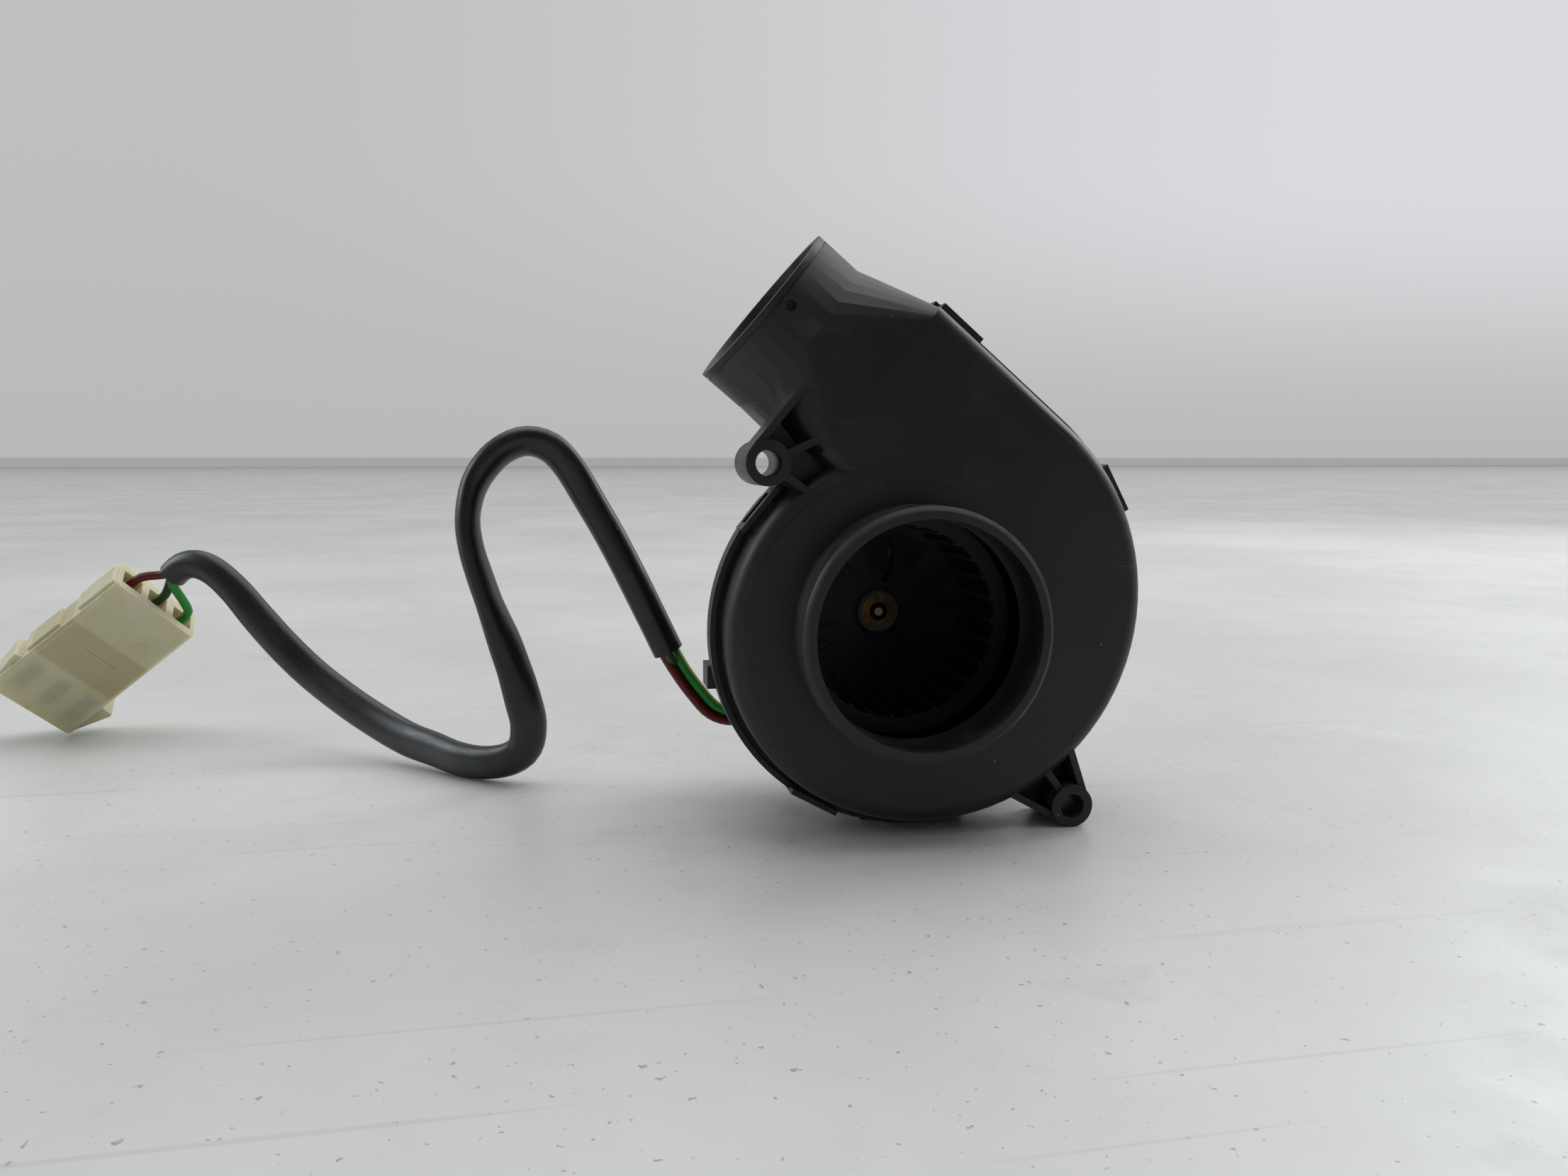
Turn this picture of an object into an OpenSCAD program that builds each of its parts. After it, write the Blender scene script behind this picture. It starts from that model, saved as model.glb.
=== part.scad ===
// DC blower fan: scroll housing in two mouldings, forward-curved impeller on an outer-rotor
// brushless motor, and a three-wire lead with its sleeve and connector.
// The origin is the centre of the inlet mouth. +X is to the right and +Z up as seen from the
// inlet side, and +Y runs along the fan axis into the housing. Depths are measured along +Y.

/* [Inlet] */
// Inner diameter of the inlet collar
inlet_d = 38; // [34:0.5:38]
// Wall of the inlet collar
collar_wall = 2.15; // [1.4:0.05:2.4]
// Height of the collar in front of the housing face
collar_h = 8; // [5:0.5:12]
// Chamfer on the outer edge of the collar rim
rim_chamfer = 0.85; // [0.3:0.05:1]

/* [Scroll housing] */
// Radius of the small arc of the scroll, on the side away from the outlet
scroll_r = 31.7; // [31:0.1:33]
// How far the centre of the large arc lies from that of the small one
scroll_growth = 6.5; // [4:0.1:8]
// Direction from the small arc's centre to the large one's, in degrees
growth_angle = 61; // [50:1:70]
// Wall of the housing
wall = 1.8; // [1.2:0.1:2.4]
// Thickness of the flat front and back walls
face_wall = 2; // [1.4:0.1:2.6]
// Depth of the front cover from its face to the split line
cover_depth = 10.2; // [9:0.1:12]
// Depth of the rear shell from the split line to its back
shell_depth = 21.8; // [21.8:0.1:26]
// Radius of the rounded shoulder
shoulder_r = 3; // [1:0.1:4]
// How far the rear shell's side wall stands inside the cover's
shell_inset = 0.8; // [0.4:0.1:1.2]
// How far the rear shell's rim stands outside the cover's wall
rim_offset = 2; // [1.6:0.1:2.6]
// Wall of the rim
rim_wall = 0.9; // [0.6:0.1:1.2]
// Height of the rim in front of the split line
rim_rise = 2.2; // [1.5:0.1:3]
// Thickness of the flange that carries the rim
flange_t = 1.8; // [1.2:0.1:2.2]
// Gap from the tip of the cutoff to the impeller
cutoff_gap = 2.7; // [1.5:0.1:4]

/* [Outlet nozzle] */
// Direction in which the air leaves, in degrees from +X
outlet_angle = 140; // [135:1:145]
// Outer diameter of the nozzle tube
nozzle_d = 30.5; // [28:0.1:31]
// Wall of the nozzle tube
nozzle_wall = 1.6; // [1.2:0.1:2]
// Length of the round tube
nozzle_l = 8.3; // [7:0.1:14]
// Length of the stretch that turns from the housing's section to the round one
blend_l = 13.5; // [10:0.5:18]
// Distance of the nozzle's mouth from the fan axis, along the outlet direction
mouth_reach = 53.3; // [50:0.1:58]

/* [Mounting ears] */
// Outer diameter of the screw bosses
boss_d = 7.5; // [7:0.1:8]
// Hole through the bosses
boss_hole = 4.3; // [3.2:0.1:4.5]
// Length of the bosses
boss_l = 12; // [11:0.5:14]
// Distance of the upper boss from the scroll's wall
boss_gap = 6.7; // [6.6:0.1:8]
// Distance of the lower boss's centre to the right of the fan axis
lower_boss_x = 28.8; // [28.4:0.1:30]
// Thickness of the ears' ribs
rib_t = 1.2; // [0.8:0.1:1.6]
// Thickness of the ears' webs
web_t = 1.6; // [1:0.1:2]

/* [Snap clips] */
// Width of the clip straps
clip_w = 9; // [8:0.5:10]
// Width of the catches on the cover
catch_w = 5.4; // [4:0.1:5.6]
// How far a strap rises in front of the rim
strap_rise = 2.6; // [2:0.1:3]

/* [Impeller] */
// Outer diameter of the impeller
impeller_d = 39.6; // [38:0.1:40]
// Diameter inside the blades
blade_inner_d = 33.4; // [33:0.1:34]
// Number of blades
blade_count = 27; // [19:2:33]
// Thickness of a blade
blade_t = 0.8; // [0.6:0.05:1]
// Length of the blades along the axis
blade_l = 19.3; // [19:0.1:20]
// Thickness of the front ring
ring_t = 1.3; // [1:0.1:2]
// Thickness of the back plate
plate_t = 1.2; // [0.8:0.1:1.6]
// How far the front ring lies behind the inlet mouth
impeller_front = 17.1; // [16:0.1:17.4]
// Outer diameter of the hub bush
bush_d = 6.5; // [6:0.1:7]

/* [Motor] */
// Shaft diameter
shaft_d = 2.3; // [2:0.1:2.5]
// Outer diameter of the rotor cup
rotor_d = 28; // [27:0.1:28]
// Wall of the rotor cup
rotor_wall = 0.9; // [0.6:0.1:1]
// Length of the rotor cup
rotor_l = 9.1; // [8.8:0.1:9.2]
// Thickness of the ring magnet
magnet_t = 1.6; // [1.2:0.1:1.8]
// Air gap between the magnet and the stator
air_gap = 0.4; // [0.3:0.05:0.6]
// Thickness of the stator's lamination stack
stack_l = 4.4; // [3.6:0.1:4.6]
// Number of stator poles
pole_count = 6; // [6:3:9]
// Outer diameter of the bearing tube
bearing_tube_d = 8; // [7.6:0.1:8.4]
// Outer diameter of the sleeve bearings
bearing_d = 5.6; // [5.2:0.1:6]
// Length of each sleeve bearing
bearing_l = 3.4; // [2.6:0.1:3.6]
// Thickness of the circuit board
board_t = 1.2; // [0.8:0.1:1.6]

/* [Motor base] */
// Outer diameter of the motor base's cup
base_d = 36.4; // [36.2:0.1:37]
// Wall of the cup
base_wall = 1.8; // [1.4:0.1:1.8]
// Floor of the cup
base_floor = 1.6; // [1.2:0.1:2.4]
// Diameter of the base's flange
base_flange_d = 53; // [52.5:0.1:54]
// Thickness of the base's flange
base_flange_t = 1.6; // [1.2:0.1:2.4]
// Width of the flange outside the screws' circle
flange_edge = 3; // [2.5:0.1:3.2]
// Screw thread diameter
screw_d = 2.2; // [2:0.1:2.5]
// Diameter of the screw heads
screw_head_d = 4.4; // [4:0.1:4.8]
// Length of the screws under the head
screw_l = 6.6; // [5:0.1:7]

/* [Lead] */
// Diameter of a wire over its insulation
wire_d = 2; // [1.6:0.1:2]
// Width of the flattened sleeve
sleeve_w = 5.4; // [5:0.1:6]
// Thickness of the flattened sleeve
sleeve_t = 4.6; // [4.4:0.1:5]

/* [Connector] */
// Length of the connector
plug_l = 37.5; // [34:0.5:40]
// Thickness of the connector
plug_t = 10; // [9:0.1:11]
// Width of the connector
plug_w = 20.6; // [20:0.1:22]
// Distance between neighbouring contacts
contact_pitch = 6.7; // [6.2:0.1:6.7]
// Height of the catches beside the mating end
hood_step = 2; // [1:0.1:2.4]
// Length of the catches
hood_l = 9.5; // [8:0.5:12]

/* [Hidden] */
$fn = 96;
facet_fn = 32;      // segments of circles inside hulls
slip = 0.2;         // clearance between mouldings that slide together
run_gap = 0.02;     // radial clearance of the shaft in its bearings
touch = 0.05;       // end play between thrust faces
over = 1;           // how far cutting tools reach past a face
slice = 0.02;       // thickness of the end slices of a loft
lap = 0.6;          // how far one stretch of the duct reaches into the next
skin = 0.04;        // how far it stands inside the next one's surface
small_steps = 28;   // straight sides of the scroll's small arc
big_steps = 40;     // straight sides of its large arc

inlet_r = inlet_d / 2;
collar_r = inlet_r + collar_wall;
face_y = collar_h;                       // depth of the housing's flat front
split_y = face_y + cover_depth;          // depth of the split line
back_y = split_y + shell_depth;          // depth of the rear shell's back

small_c = [-0.2, -1.3];                  // centre of the small arc
big_c = small_c + scroll_growth * [cos(growth_angle), sin(growth_angle)];
big_r = scroll_r + scroll_growth;
duct_turn = outlet_angle - 90;           // turns X and Z to across and along the outlet duct
big_start = growth_angle + 180;          // where the large arc takes over from the small one
big_end = duct_turn + 360;               // where it runs into the straight duct

// Across (v) and along (u) the outlet duct
function to_duct(p) = [
    p.x * cos(duct_turn) + p.y * sin(duct_turn),
    -p.x * sin(duct_turn) + p.y * cos(duct_turn)
];
small_d = to_duct(small_c);
big_d = to_duct(big_c);
duct_top = big_d.x + big_r;
nozzle_r = nozzle_d / 2;
nozzle_v = duct_top - nozzle_r - 1.9;    // the nozzle lies a little inside the duct's top
duct_low = nozzle_v - nozzle_r + 0.2;
nozzle_y = face_y + nozzle_r;            // the tube's front is level with the housing's face
tube_u = mouth_reach - nozzle_l;
blend_u = tube_u - blend_l;

// Impeller and cutoff
impeller_r = impeller_d / 2;
blade_r = blade_inner_d / 2;
blade_end = impeller_front + blade_l;
plate_back = blade_end + plate_t;
cutoff_tip = 1.4;                        // radius of the cutoff's nose
cutoff_v = nozzle_v - nozzle_r + 0.95;
cutoff_u = sqrt(pow(impeller_r + cutoff_gap + cutoff_tip, 2) - pow(cutoff_v, 2));

// Ears
boss_r = boss_d / 2;
boss_end = face_y + boss_l;
upper_dist = scroll_r + boss_gap;
upper_v = 5.1;
upper_boss = [upper_v, small_d.y + sqrt(pow(upper_dist, 2) - pow(upper_v - small_d.x, 2))];
floor_z = big_c.y - big_r - rim_offset;  // the surface that the blower stands on
lower_boss = [lower_boss_x, floor_z + boss_r];
ear_front = face_y + 0.7;
ear_back = split_y - rim_rise - 0.4;

// Hub and rotor
hub_front = blade_end - 4.5;             // depth of the bush's face
hub_r = bush_d / 2 + 1.1;
rotor_r = rotor_d / 2;
cup_front = blade_end + 0.5;
cup_end = cup_front + rotor_l;
magnet_outer = rotor_r - rotor_wall;
magnet_inner = magnet_outer - magnet_t;
magnet_front = cup_front + rotor_wall + 1.2;
magnet_end = cup_end - 0.4;
stator_r = magnet_inner - air_gap;
stack_mid = (magnet_front + magnet_end) / 2;
stack_front = stack_mid - stack_l / 2;
stack_end = stack_mid + stack_l / 2;
insulator_t = 0.9;
tooth_w = 2.2;
coil_reach = 0.9;                        // how far a coil stands past the insulators
neck_r = 2.2;                            // the bush's neck, through the rotor cup
neck_end = cup_front + 2.7;
washer_t = 0.3;
front_bearing_y = neck_end + washer_t + 2 * touch;
board_front = cup_end + 1.2;
board_end = board_front + board_t;
rear_bearing_y = front_bearing_y + 9 - bearing_l;
clip_y = rear_bearing_y + bearing_l + washer_t + 2 * touch;
clip_t = 0.4;
shaft_front = hub_front - 0.2;
shaft_end = clip_y + clip_t + 0.4;
base_inner_y = board_end + 2.2;          // front face of the base's floor
base_back = base_inner_y + base_floor;
base_r = base_d / 2;
screw_circle_r = base_flange_d / 2 - flange_edge;
base_inner_r = base_r - base_wall;
spigot_r = base_r + 0.5;
board_r = base_inner_r - 0.8;
tube_end = base_inner_y + 0.8;
screw_angles = [30, 150, 270];

// Lead
exit_angle = 222;
exit_dir = [cos(exit_angle), 0, sin(exit_angle)];
exit_side = [-sin(exit_angle), 0, cos(exit_angle)];
wire_y = board_front - wire_d / 2;
wire_gap = 2.2;
grommet_inner = base_inner_r - 0.2;
grommet_outer = base_r + 3.3;
plug_pos = [-154.9, 101.5, 1];
plug_turn = [31, -37.7, -9];

// The clips: centre, radius and direction of the wall that each one sits on
clips = [
    [small_c, scroll_r, outlet_angle],
    [small_c, scroll_r, growth_angle + 180],
    [big_c, big_r, 28.5]
];

// Points along the sleeve, from the fan's end to the connector's
sleeve_path = [
    [-38, 48, -9], [-41.7, 48, -1], [-45.5, 48, 7], [-49, 48.5, 14], [-52.5, 49, 20.5],
    [-56.5, 49, 27.5], [-60, 49, 31.6], [-64, 49, 33], [-68, 48.5, 31.7], [-71.8, 48, 28.5],
    [-74.6, 48, 24], [-76, 47.5, 18], [-75.4, 47, 12], [-73.6, 47, 6], [-71.2, 47, 0],
    [-69.2, 47.5, -6], [-67.4, 48, -12], [-66, 49, -18], [-65.2, 51, -23], [-66, 53, -28],
    [-69, 54.5, -31.4], [-74, 57.5, -33.1], [-79.5, 62, -33.1], [-85, 68, -32.2], [-91, 74, -30.4],
    [-98, 80, -27.6], [-105, 85, -23.8], [-112.5, 90, -18.8], [-119, 93.5, -13], [-125, 97, -6.8],
    [-130, 99.5, -1], [-134.8, 101.8, 3.2], [-139, 103.8, 4.8], [-142.4, 105.4, 4.2],
    [-145, 106.8, 2.2]
];

// ---------- helpers ----------

// An outline drawn in X and Z, as seen from the inlet side, between two depths
module slab(front, back) {
    translate([0, back, 0]) rotate([90, 0, 0]) linear_extrude(height = back - front) children();
}

// A profile of radius and depth, turned about a line parallel to the fan axis
module turned(centre = [0, 0], from = 0, sweep = 360) {
    translate([centre.x, 0, centre.y]) rotate([90, 0, 0]) rotate([0, 0, from])
        rotate_extrude(angle = sweep) mirror([0, 1]) children();
}

// A ring or disc between two depths
module ring(outer, inner, front, back) {
    turned() translate([inner, front]) square([outer - inner, back - front]);
}

// A profile across the duct and in depth, run along the duct
module along_duct(from, to) {
    rotate([90, 0, 0]) rotate([0, 0, duct_turn]) translate([0, to, 0])
        rotate([90, 0, 0]) linear_extrude(height = to - from) mirror([0, 1]) children();
}

// A straight bar from one point to another, in an outline
module bar(p, q, t) {
    run = q - p;
    translate(p) rotate(atan2(run.y, run.x)) translate([0, -t / 2]) square([norm(run), t]);
}

// The profile of a rounded edge: radius or width r, rounded at the front and at the back
module edge(r, front, back, front_r, back_r) {
    translate([0, front + front_r]) square([r, back - front - front_r - back_r]);
    if (front_r > 0) {
        translate([0, front]) square([r - front_r, front_r + over / 10]);
        translate([r - front_r, front + front_r]) circle(front_r);
    }
    if (back_r > 0) {
        translate([0, back - back_r - over / 10]) square([r - back_r, back_r + over / 10]);
        translate([r - back_r, back - back_r]) circle(back_r);
    }
}

// The duct's section: rounded on both sides
module duct_section(inset, front, back, corner) {
    low = duct_low + inset;
    high = duct_top - inset;
    mid = (low + high) / 2;
    translate([mid, 0]) edge(high - mid, front, back, corner, corner);
    translate([mid, 0]) mirror([1, 0]) edge(mid - low, front, back, corner, corner);
}

function from_duct(v, u) = [
    v * cos(duct_turn) - u * sin(duct_turn),
    v * sin(duct_turn) + u * cos(duct_turn)
];

function arc(c, r, from, to, steps, first = 0) = [
    for (i = [first : steps])
        let (a = from + (to - from) * i / steps) c + r * [cos(a), sin(a)]
];

// Where the small arc starts, at the foot of the duct's lower side
function foot_angle(inset) =
    let (
        v = duct_low + inset - small_d.x,
        u = sqrt(pow(scroll_r - inset, 2) - pow(v, 2))
    )
    duct_turn + atan2(u, v);

// The scroll's outline, set in from its outer wall
function scroll_outline(inset) = concat(
    arc(small_c, scroll_r - inset, foot_angle(inset), big_start, small_steps),
    arc(big_c, big_r - inset, big_start, big_end, big_steps, 1),
    [from_duct(duct_top - inset, blend_u), from_duct(duct_low + inset, blend_u)]
);

// How far each ring of the scroll's shell is set in, and its depth
function edge_rings(inset, front, back, front_r, back_r, steps) = concat(
    front_r > 0 ? [
        for (i = [0 : steps])
            let (t = 90 * i / steps)
                [inset + front_r * (1 - sin(t)), front + front_r * (1 - cos(t))]
    ] : [[inset, front]],
    back_r > 0 ? [
        for (i = [0 : steps])
            let (t = 90 * i / steps)
                [inset + back_r * (1 - cos(t)), back - back_r * (1 - sin(t))]
    ] : [[inset, back]]
);

// The scroll as one solid: a small arc, a large arc and the straight duct
module scroll(inset, front, back, front_r, back_r, steps = 5) {
    rings = edge_rings(inset, front, back, front_r, back_r, steps);
    n = len(scroll_outline(inset));
    last = len(rings) - 1;
    polyhedron(
        points = [for (e = rings) for (p = scroll_outline(e.x)) [p.x, e.y, p.y]],
        faces = concat(
            [[for (i = [0 : n - 1]) (n - i) % n]],
            [for (j = [0 : last - 1]) for (i = [0 : n - 1])
                let (a = j * n + i, b = j * n + (i + 1) % n)
                    for (face = [[a, b, b + n], [a, b + n, a + n]]) face],
            [[for (i = [0 : n - 1]) last * n + i]]
        )
    );
}

// The stretch between the duct's section and the round nozzle. It starts a little inside the
// duct and ends a little inside the nozzle, and stands just inside both of them.
module blend(inset, tube_inset, front, back, corner) {
    hull() {
        along_duct(blend_u - lap, blend_u - lap + slice)
            duct_section(inset + skin, front + skin, back - skin, corner, $fn = facet_fn);
        along_duct(tube_u - slice, tube_u)
            translate([nozzle_v, nozzle_y]) circle(nozzle_r - tube_inset - skin, $fn = facet_fn);
    }
}

// All that lies between two depths
module depth_band(front, back) {
    reach = 2 * mouth_reach;
    translate([-reach, front, -reach]) cube([2 * reach, back - front, 2 * reach]);
}

// The scroll's outline, grown outwards, with the straight lip that runs up to the upper boss
module rim_outline(grow) {
    lip_end = upper_boss.x - boss_r - 0.2;
    translate(small_c) circle(scroll_r + grow);
    translate(big_c) intersection() {
        circle(big_r + grow);
        rotate(big_start) polygon([[0, 0], [90, 0], [90, 90], [0, 90]]);
    }
    translate(big_c) intersection() {
        circle(big_r + grow);
        rotate(big_start + 89) polygon([[0, 0], [90, 0], [90, 90], [-2, 90]]);
    }
    rotate(duct_turn) {
        translate([0, big_d.y - 1]) square([duct_top + grow, blend_u - big_d.y + 1]);
        translate([small_d.x, 0]) square([lip_end - small_d.x, small_d.y + scroll_r + grow]);
    }
}

// A block on the housing's wall: width along it, and heights above it
module on_wall(centre, r, angle, width, low, high, front, back) {
    translate([centre.x, 0, centre.y]) rotate([90, 0, 0]) rotate([0, 0, angle - 90])
        translate([-width / 2, r + low, -back]) cube([width, high - low, back - front]);
}

// The same block on the straight top of the duct
module on_duct(along, width, low, high, front, back) {
    on_wall([0, 0], duct_top, duct_turn, width, low, high, front, back, along);
}

module on_each_clip(width, low, high, front, back) {
    for (c = clips) on_wall(c[0], c[1], c[2], width, low, high, front, back);
    rotate([90, 0, 0]) rotate([0, 0, duct_turn])
        translate([duct_top + low, blend_u - 5.5 - width / 2, -back])
            cube([high - low, width, back - front]);
}

module cutoff(front, back) {
    slab(front, back) rotate(duct_turn) {
        translate([cutoff_v, cutoff_u]) circle(cutoff_tip);
        polygon([
            [cutoff_v - cutoff_tip, cutoff_u], [cutoff_v + cutoff_tip, cutoff_u],
            [duct_low + wall + 0.2, small_d.y + scroll_r - 3.2],
            [duct_low - 2, small_d.y + scroll_r - 3.2]
        ]);
    }
}

// ---------- housing ----------

module upper_ear() {
    tip = upper_boss;
    slab(ear_front, ear_back) rotate(duct_turn) {
        translate([tip.x, tip.y + boss_r - rib_t]) square([nozzle_v - 5 - tip.x, rib_t]);
        bar(tip, [duct_low + 3.5, tip.y - 4.7], rib_t);
        bar(tip, [tip.x + 0.9, tip.y - 10.5], rib_t);
    }
    slab(ear_back - web_t, ear_back) rotate(duct_turn) polygon([
        [tip.x - 0.8, tip.y - 3], [tip.x + 0.3, tip.y - 11], [nozzle_v - 5, tip.y - 11],
        [nozzle_v - 5, tip.y + boss_r], [tip.x, tip.y + boss_r]
    ]);
    slab(face_y, boss_end) rotate(duct_turn) translate(tip) circle(boss_r);
}

module lower_ear() {
    tip = lower_boss;
    outward = tip - big_c;
    aim = outward / norm(outward);
    side = [-aim.y, aim.x];
    shoulder = big_r - shoulder_r + 0.4;
    upper_root = big_c + [cos(-45), sin(-45)] * shoulder;
    lower_root = big_c + [cos(-68), sin(-68)] * shoulder;
    middle_root = big_c + aim * shoulder;
    upper_tip = tip + [1, 0] * (boss_r - rib_t / 2);
    lower_tip = tip + [-0.545, -0.839] * (boss_r - rib_t / 2);
    slab(ear_front, ear_back) {
        bar(upper_root, upper_tip, rib_t);
        bar(lower_root, lower_tip, rib_t);
        bar(middle_root, tip, rib_t);
    }
    slab(ear_back - web_t, ear_back)
        polygon([upper_root, upper_tip, tip, lower_tip, lower_root, big_c + side]);
    slab(face_y, boss_end) translate(tip) circle(boss_r);
}

module front_cover() color("#3b3c40") difference() {
    union() {
        difference() {
            union() {
                scroll(0, face_y, split_y, shoulder_r, 0);
                intersection() {
                    blend(0, 0, face_y, back_y, shoulder_r);
                    depth_band(0, split_y);
                }
                along_duct(tube_u - lap, mouth_reach)
                    translate([nozzle_v, nozzle_y]) circle(nozzle_r);
                upper_ear();
                lower_ear();
            }
            scroll(wall, face_y + face_wall, split_y + over, shoulder_r - wall, 0, 2);
            blend(wall, nozzle_wall, face_y + face_wall, back_y - face_wall, shoulder_r - wall);
            along_duct(tube_u - lap, mouth_reach + over)
                translate([nozzle_v, nozzle_y]) circle(nozzle_r - nozzle_wall);
        }
        turned() polygon([
            [inlet_r - over, 0], [collar_r - rim_chamfer, 0], [collar_r, rim_chamfer],
            [collar_r, face_y + face_wall / 2], [inlet_r - over, face_y + face_wall / 2]
        ]);
        on_each_clip(catch_w, -wall / 2, rim_offset - 0.3, split_y - 2.8, split_y - 1);
        nozzle_stud(1.5, face_y - 0.5, face_y + 1.2);
        cutoff(face_y + face_wall / 2, split_y);
    }
    ring(inlet_r, 0, -over, face_y + face_wall + over);
    slab(face_y - over, boss_end + over) {
        rotate(duct_turn) translate(upper_boss) circle(boss_hole / 2);
        translate(lower_boss) circle(boss_hole / 2);
    }
    nozzle_stud(0.9, face_y - over, face_y + 0.6);
    along_duct(tube_u - 2 * lap, tube_u + touch)
        translate([nozzle_v - 1.2 * nozzle_r, split_y - touch]) square(2.4 * nozzle_r);
    along_duct(mouth_reach - 1.3, mouth_reach - 1) translate([nozzle_v, nozzle_y]) difference() {
        circle(nozzle_r + over);
        circle(nozzle_r - 0.25);
    }
}

// A small hollow stud on the front of the nozzle
module nozzle_stud(r, front, back) {
    slab(front, back) rotate(duct_turn) translate([nozzle_v, mouth_reach - 2.9]) circle(r);
}

module screw_posts() {
    for (a = screw_angles) slab(back_y - face_wall - 4.6, back_y - face_wall / 2)
        rotate(a) translate([screw_circle_r, 0]) circle(screw_d);
}

// Stiffening ribs behind the rim: two under the shell, which it stands on, and one at the side
module shell_ribs() {
    rib_w = 3;
    rib_reach = 8;
    for (x = [-rib_reach, rib_reach])
        translate([big_c.x + x - rib_w / 2, split_y + flange_t / 2, floor_z])
            cube([rib_w, shell_depth - shoulder_r - flange_t / 2, rim_offset + 3]);
    translate([small_c.x - scroll_r - rim_offset - 0.1, split_y + flange_t / 2, small_c.y - 9.6])
        cube([rim_offset + 3.4, 6, 4]);
}

module rear_shell() color("#37383c") difference() {
    union() {
        difference() {
            union() {
                scroll(shell_inset, split_y, back_y, 0, shoulder_r);
                intersection() {
                    blend(shell_inset, 0, face_y, back_y, shoulder_r);
                    depth_band(split_y, back_y);
                }
                slab(split_y, split_y + flange_t) rim_outline(rim_offset);
                shell_ribs();
            }
            scroll(shell_inset + wall, split_y - over, back_y - face_wall, 0, shoulder_r - wall, 2);
            blend(shell_inset + wall, nozzle_wall, face_y + face_wall, back_y - face_wall,
                shoulder_r - wall);
            along_duct(tube_u - lap, tube_u + over)
                translate([nozzle_v, nozzle_y]) circle(nozzle_r - nozzle_wall);
        }
        difference() {
            union() {
                slab(split_y - rim_rise, split_y + flange_t / 2) difference() {
                    rim_outline(rim_offset);
                    rim_outline(rim_offset - rim_wall);
                }
                on_each_clip(clip_w, rim_offset - rim_wall, rim_offset,
                    split_y - rim_rise - strap_rise, split_y + flange_t / 2);
            }
            on_each_clip(catch_w + 1, rim_offset - rim_wall - over, rim_offset + over,
                split_y - 3.3, split_y - 0.5);
        }
        screw_posts();
        cutoff(split_y, back_y - face_wall / 2);
    }
    ring(spigot_r + slip, 0, back_y - face_wall - over, back_y + over);
    for (a = screw_angles) slab(back_y - face_wall - 5, back_y + over)
        rotate(a) translate([screw_circle_r, 0]) circle(screw_d / 2);
}

module motor_base() color("#2f3034") difference() {
    union() {
        ring(base_flange_d / 2, 0, back_y, back_y + base_flange_t);
        ring(spigot_r, 0, back_y - face_wall + slip, back_y);
        ring(base_r, 0, back_y, base_back);
    }
    difference() {
        ring(base_inner_r, 0, back_y - face_wall, base_inner_y);
        ring(base_inner_r + over, base_inner_r - 1.6, board_end, base_back);
        ring(bearing_tube_d / 2 + 1.8, 0, board_end + 0.3, base_back);
    }
    ring(bearing_tube_d / 2, 0, board_end, tube_end);
    for (a = screw_angles) slab(back_y - over, back_y + base_flange_t + over)
        rotate(a) translate([screw_circle_r, 0]) circle(screw_d / 2 + slip);
    exit_block(8.4 + 2 * touch, wire_d / 2 + 0.5 + touch, base_inner_r - over, base_r + over);
}

// A block about the lead's exit: its width, half its height, and its two radii
module exit_block(width, half_h, inner, outer) {
    rotate([0, -exit_angle, 0]) translate([inner, wire_y - half_h, -width / 2])
        cube([outer - inner, 2 * half_h, width]);
}

module motor_screws() color("#b9bcc0") for (a = screw_angles)
    rotate([0, -a, 0]) translate([screw_circle_r, 0, 0]) {
        head_y = back_y + base_flange_t;
        ring(screw_d / 2, 0, head_y - screw_l, head_y);
        turned() polygon([
            [0, head_y], [screw_head_d / 2, head_y], [screw_head_d / 2, head_y + 1],
            [screw_head_d / 2 - 0.5, head_y + 1.6], [0, head_y + 1.6]
        ]);
    }

// ---------- rotor ----------

// One forward-curved blade: part of a thin round shell between the two blade radii
module blade_outline() {
    curve_r = 2.6;
    mid_r = (blade_r + impeller_r) / 2;
    intersection() {
        difference() {
            circle(impeller_r - 0.1);
            circle(blade_r + 0.1);
        }
        translate([mid_r - 0.9, 1.9]) difference() {
            circle(curve_r);
            circle(curve_r - blade_t);
            rotate(60) square(2 * curve_r);
            rotate(10) square(2 * curve_r);
            rotate(160) square(2 * curve_r);
        }
    }
}

module impeller() color("#26272a") {
    difference() {
        union() {
            ring(impeller_r, blade_r + 0.4, impeller_front, impeller_front + ring_t);
            slab(impeller_front + ring_t / 2, blade_end + plate_t / 2)
                for (i = [0 : blade_count - 1]) rotate(i * 360 / blade_count) blade_outline();
            turned() polygon([
                [0, hub_front + 0.1], [hub_r - 0.5, hub_front + 0.1], [hub_r, hub_front + 0.5],
                [hub_r + 1, hub_front + 0.9], [blade_r, blade_end], [impeller_r, blade_end],
                [impeller_r, plate_back], [rotor_r + 1.4, plate_back],
                [rotor_r + 1.4, plate_back + 1.6], [0, plate_back + 1.6]
            ]);
        }
        ring(rotor_r + touch, 0, cup_front, plate_back + 2 * over);
        ring(bush_d / 2, 0, hub_front - over, cup_front + over);
        dome_slot();
    }
}

// A curved slot through the dome
module dome_slot() {
    slot_r = 15;
    slab(hub_front, cup_front + over) rotate(72) translate([11.2 - slot_r, 0]) intersection() {
        difference() {
            circle(slot_r + 0.6);
            circle(slot_r - 0.6);
        }
        translate([slot_r - 3, -4]) square([6, 8]);
    }
}

module hub_bush() color("#a9793f") difference() {
    union() {
        ring(bush_d / 2, 0, hub_front, cup_front);
        ring(neck_r, 0, cup_front - over, neck_end);
    }
    ring(shaft_d / 2, 0, hub_front - over, neck_end + over);
}

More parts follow.
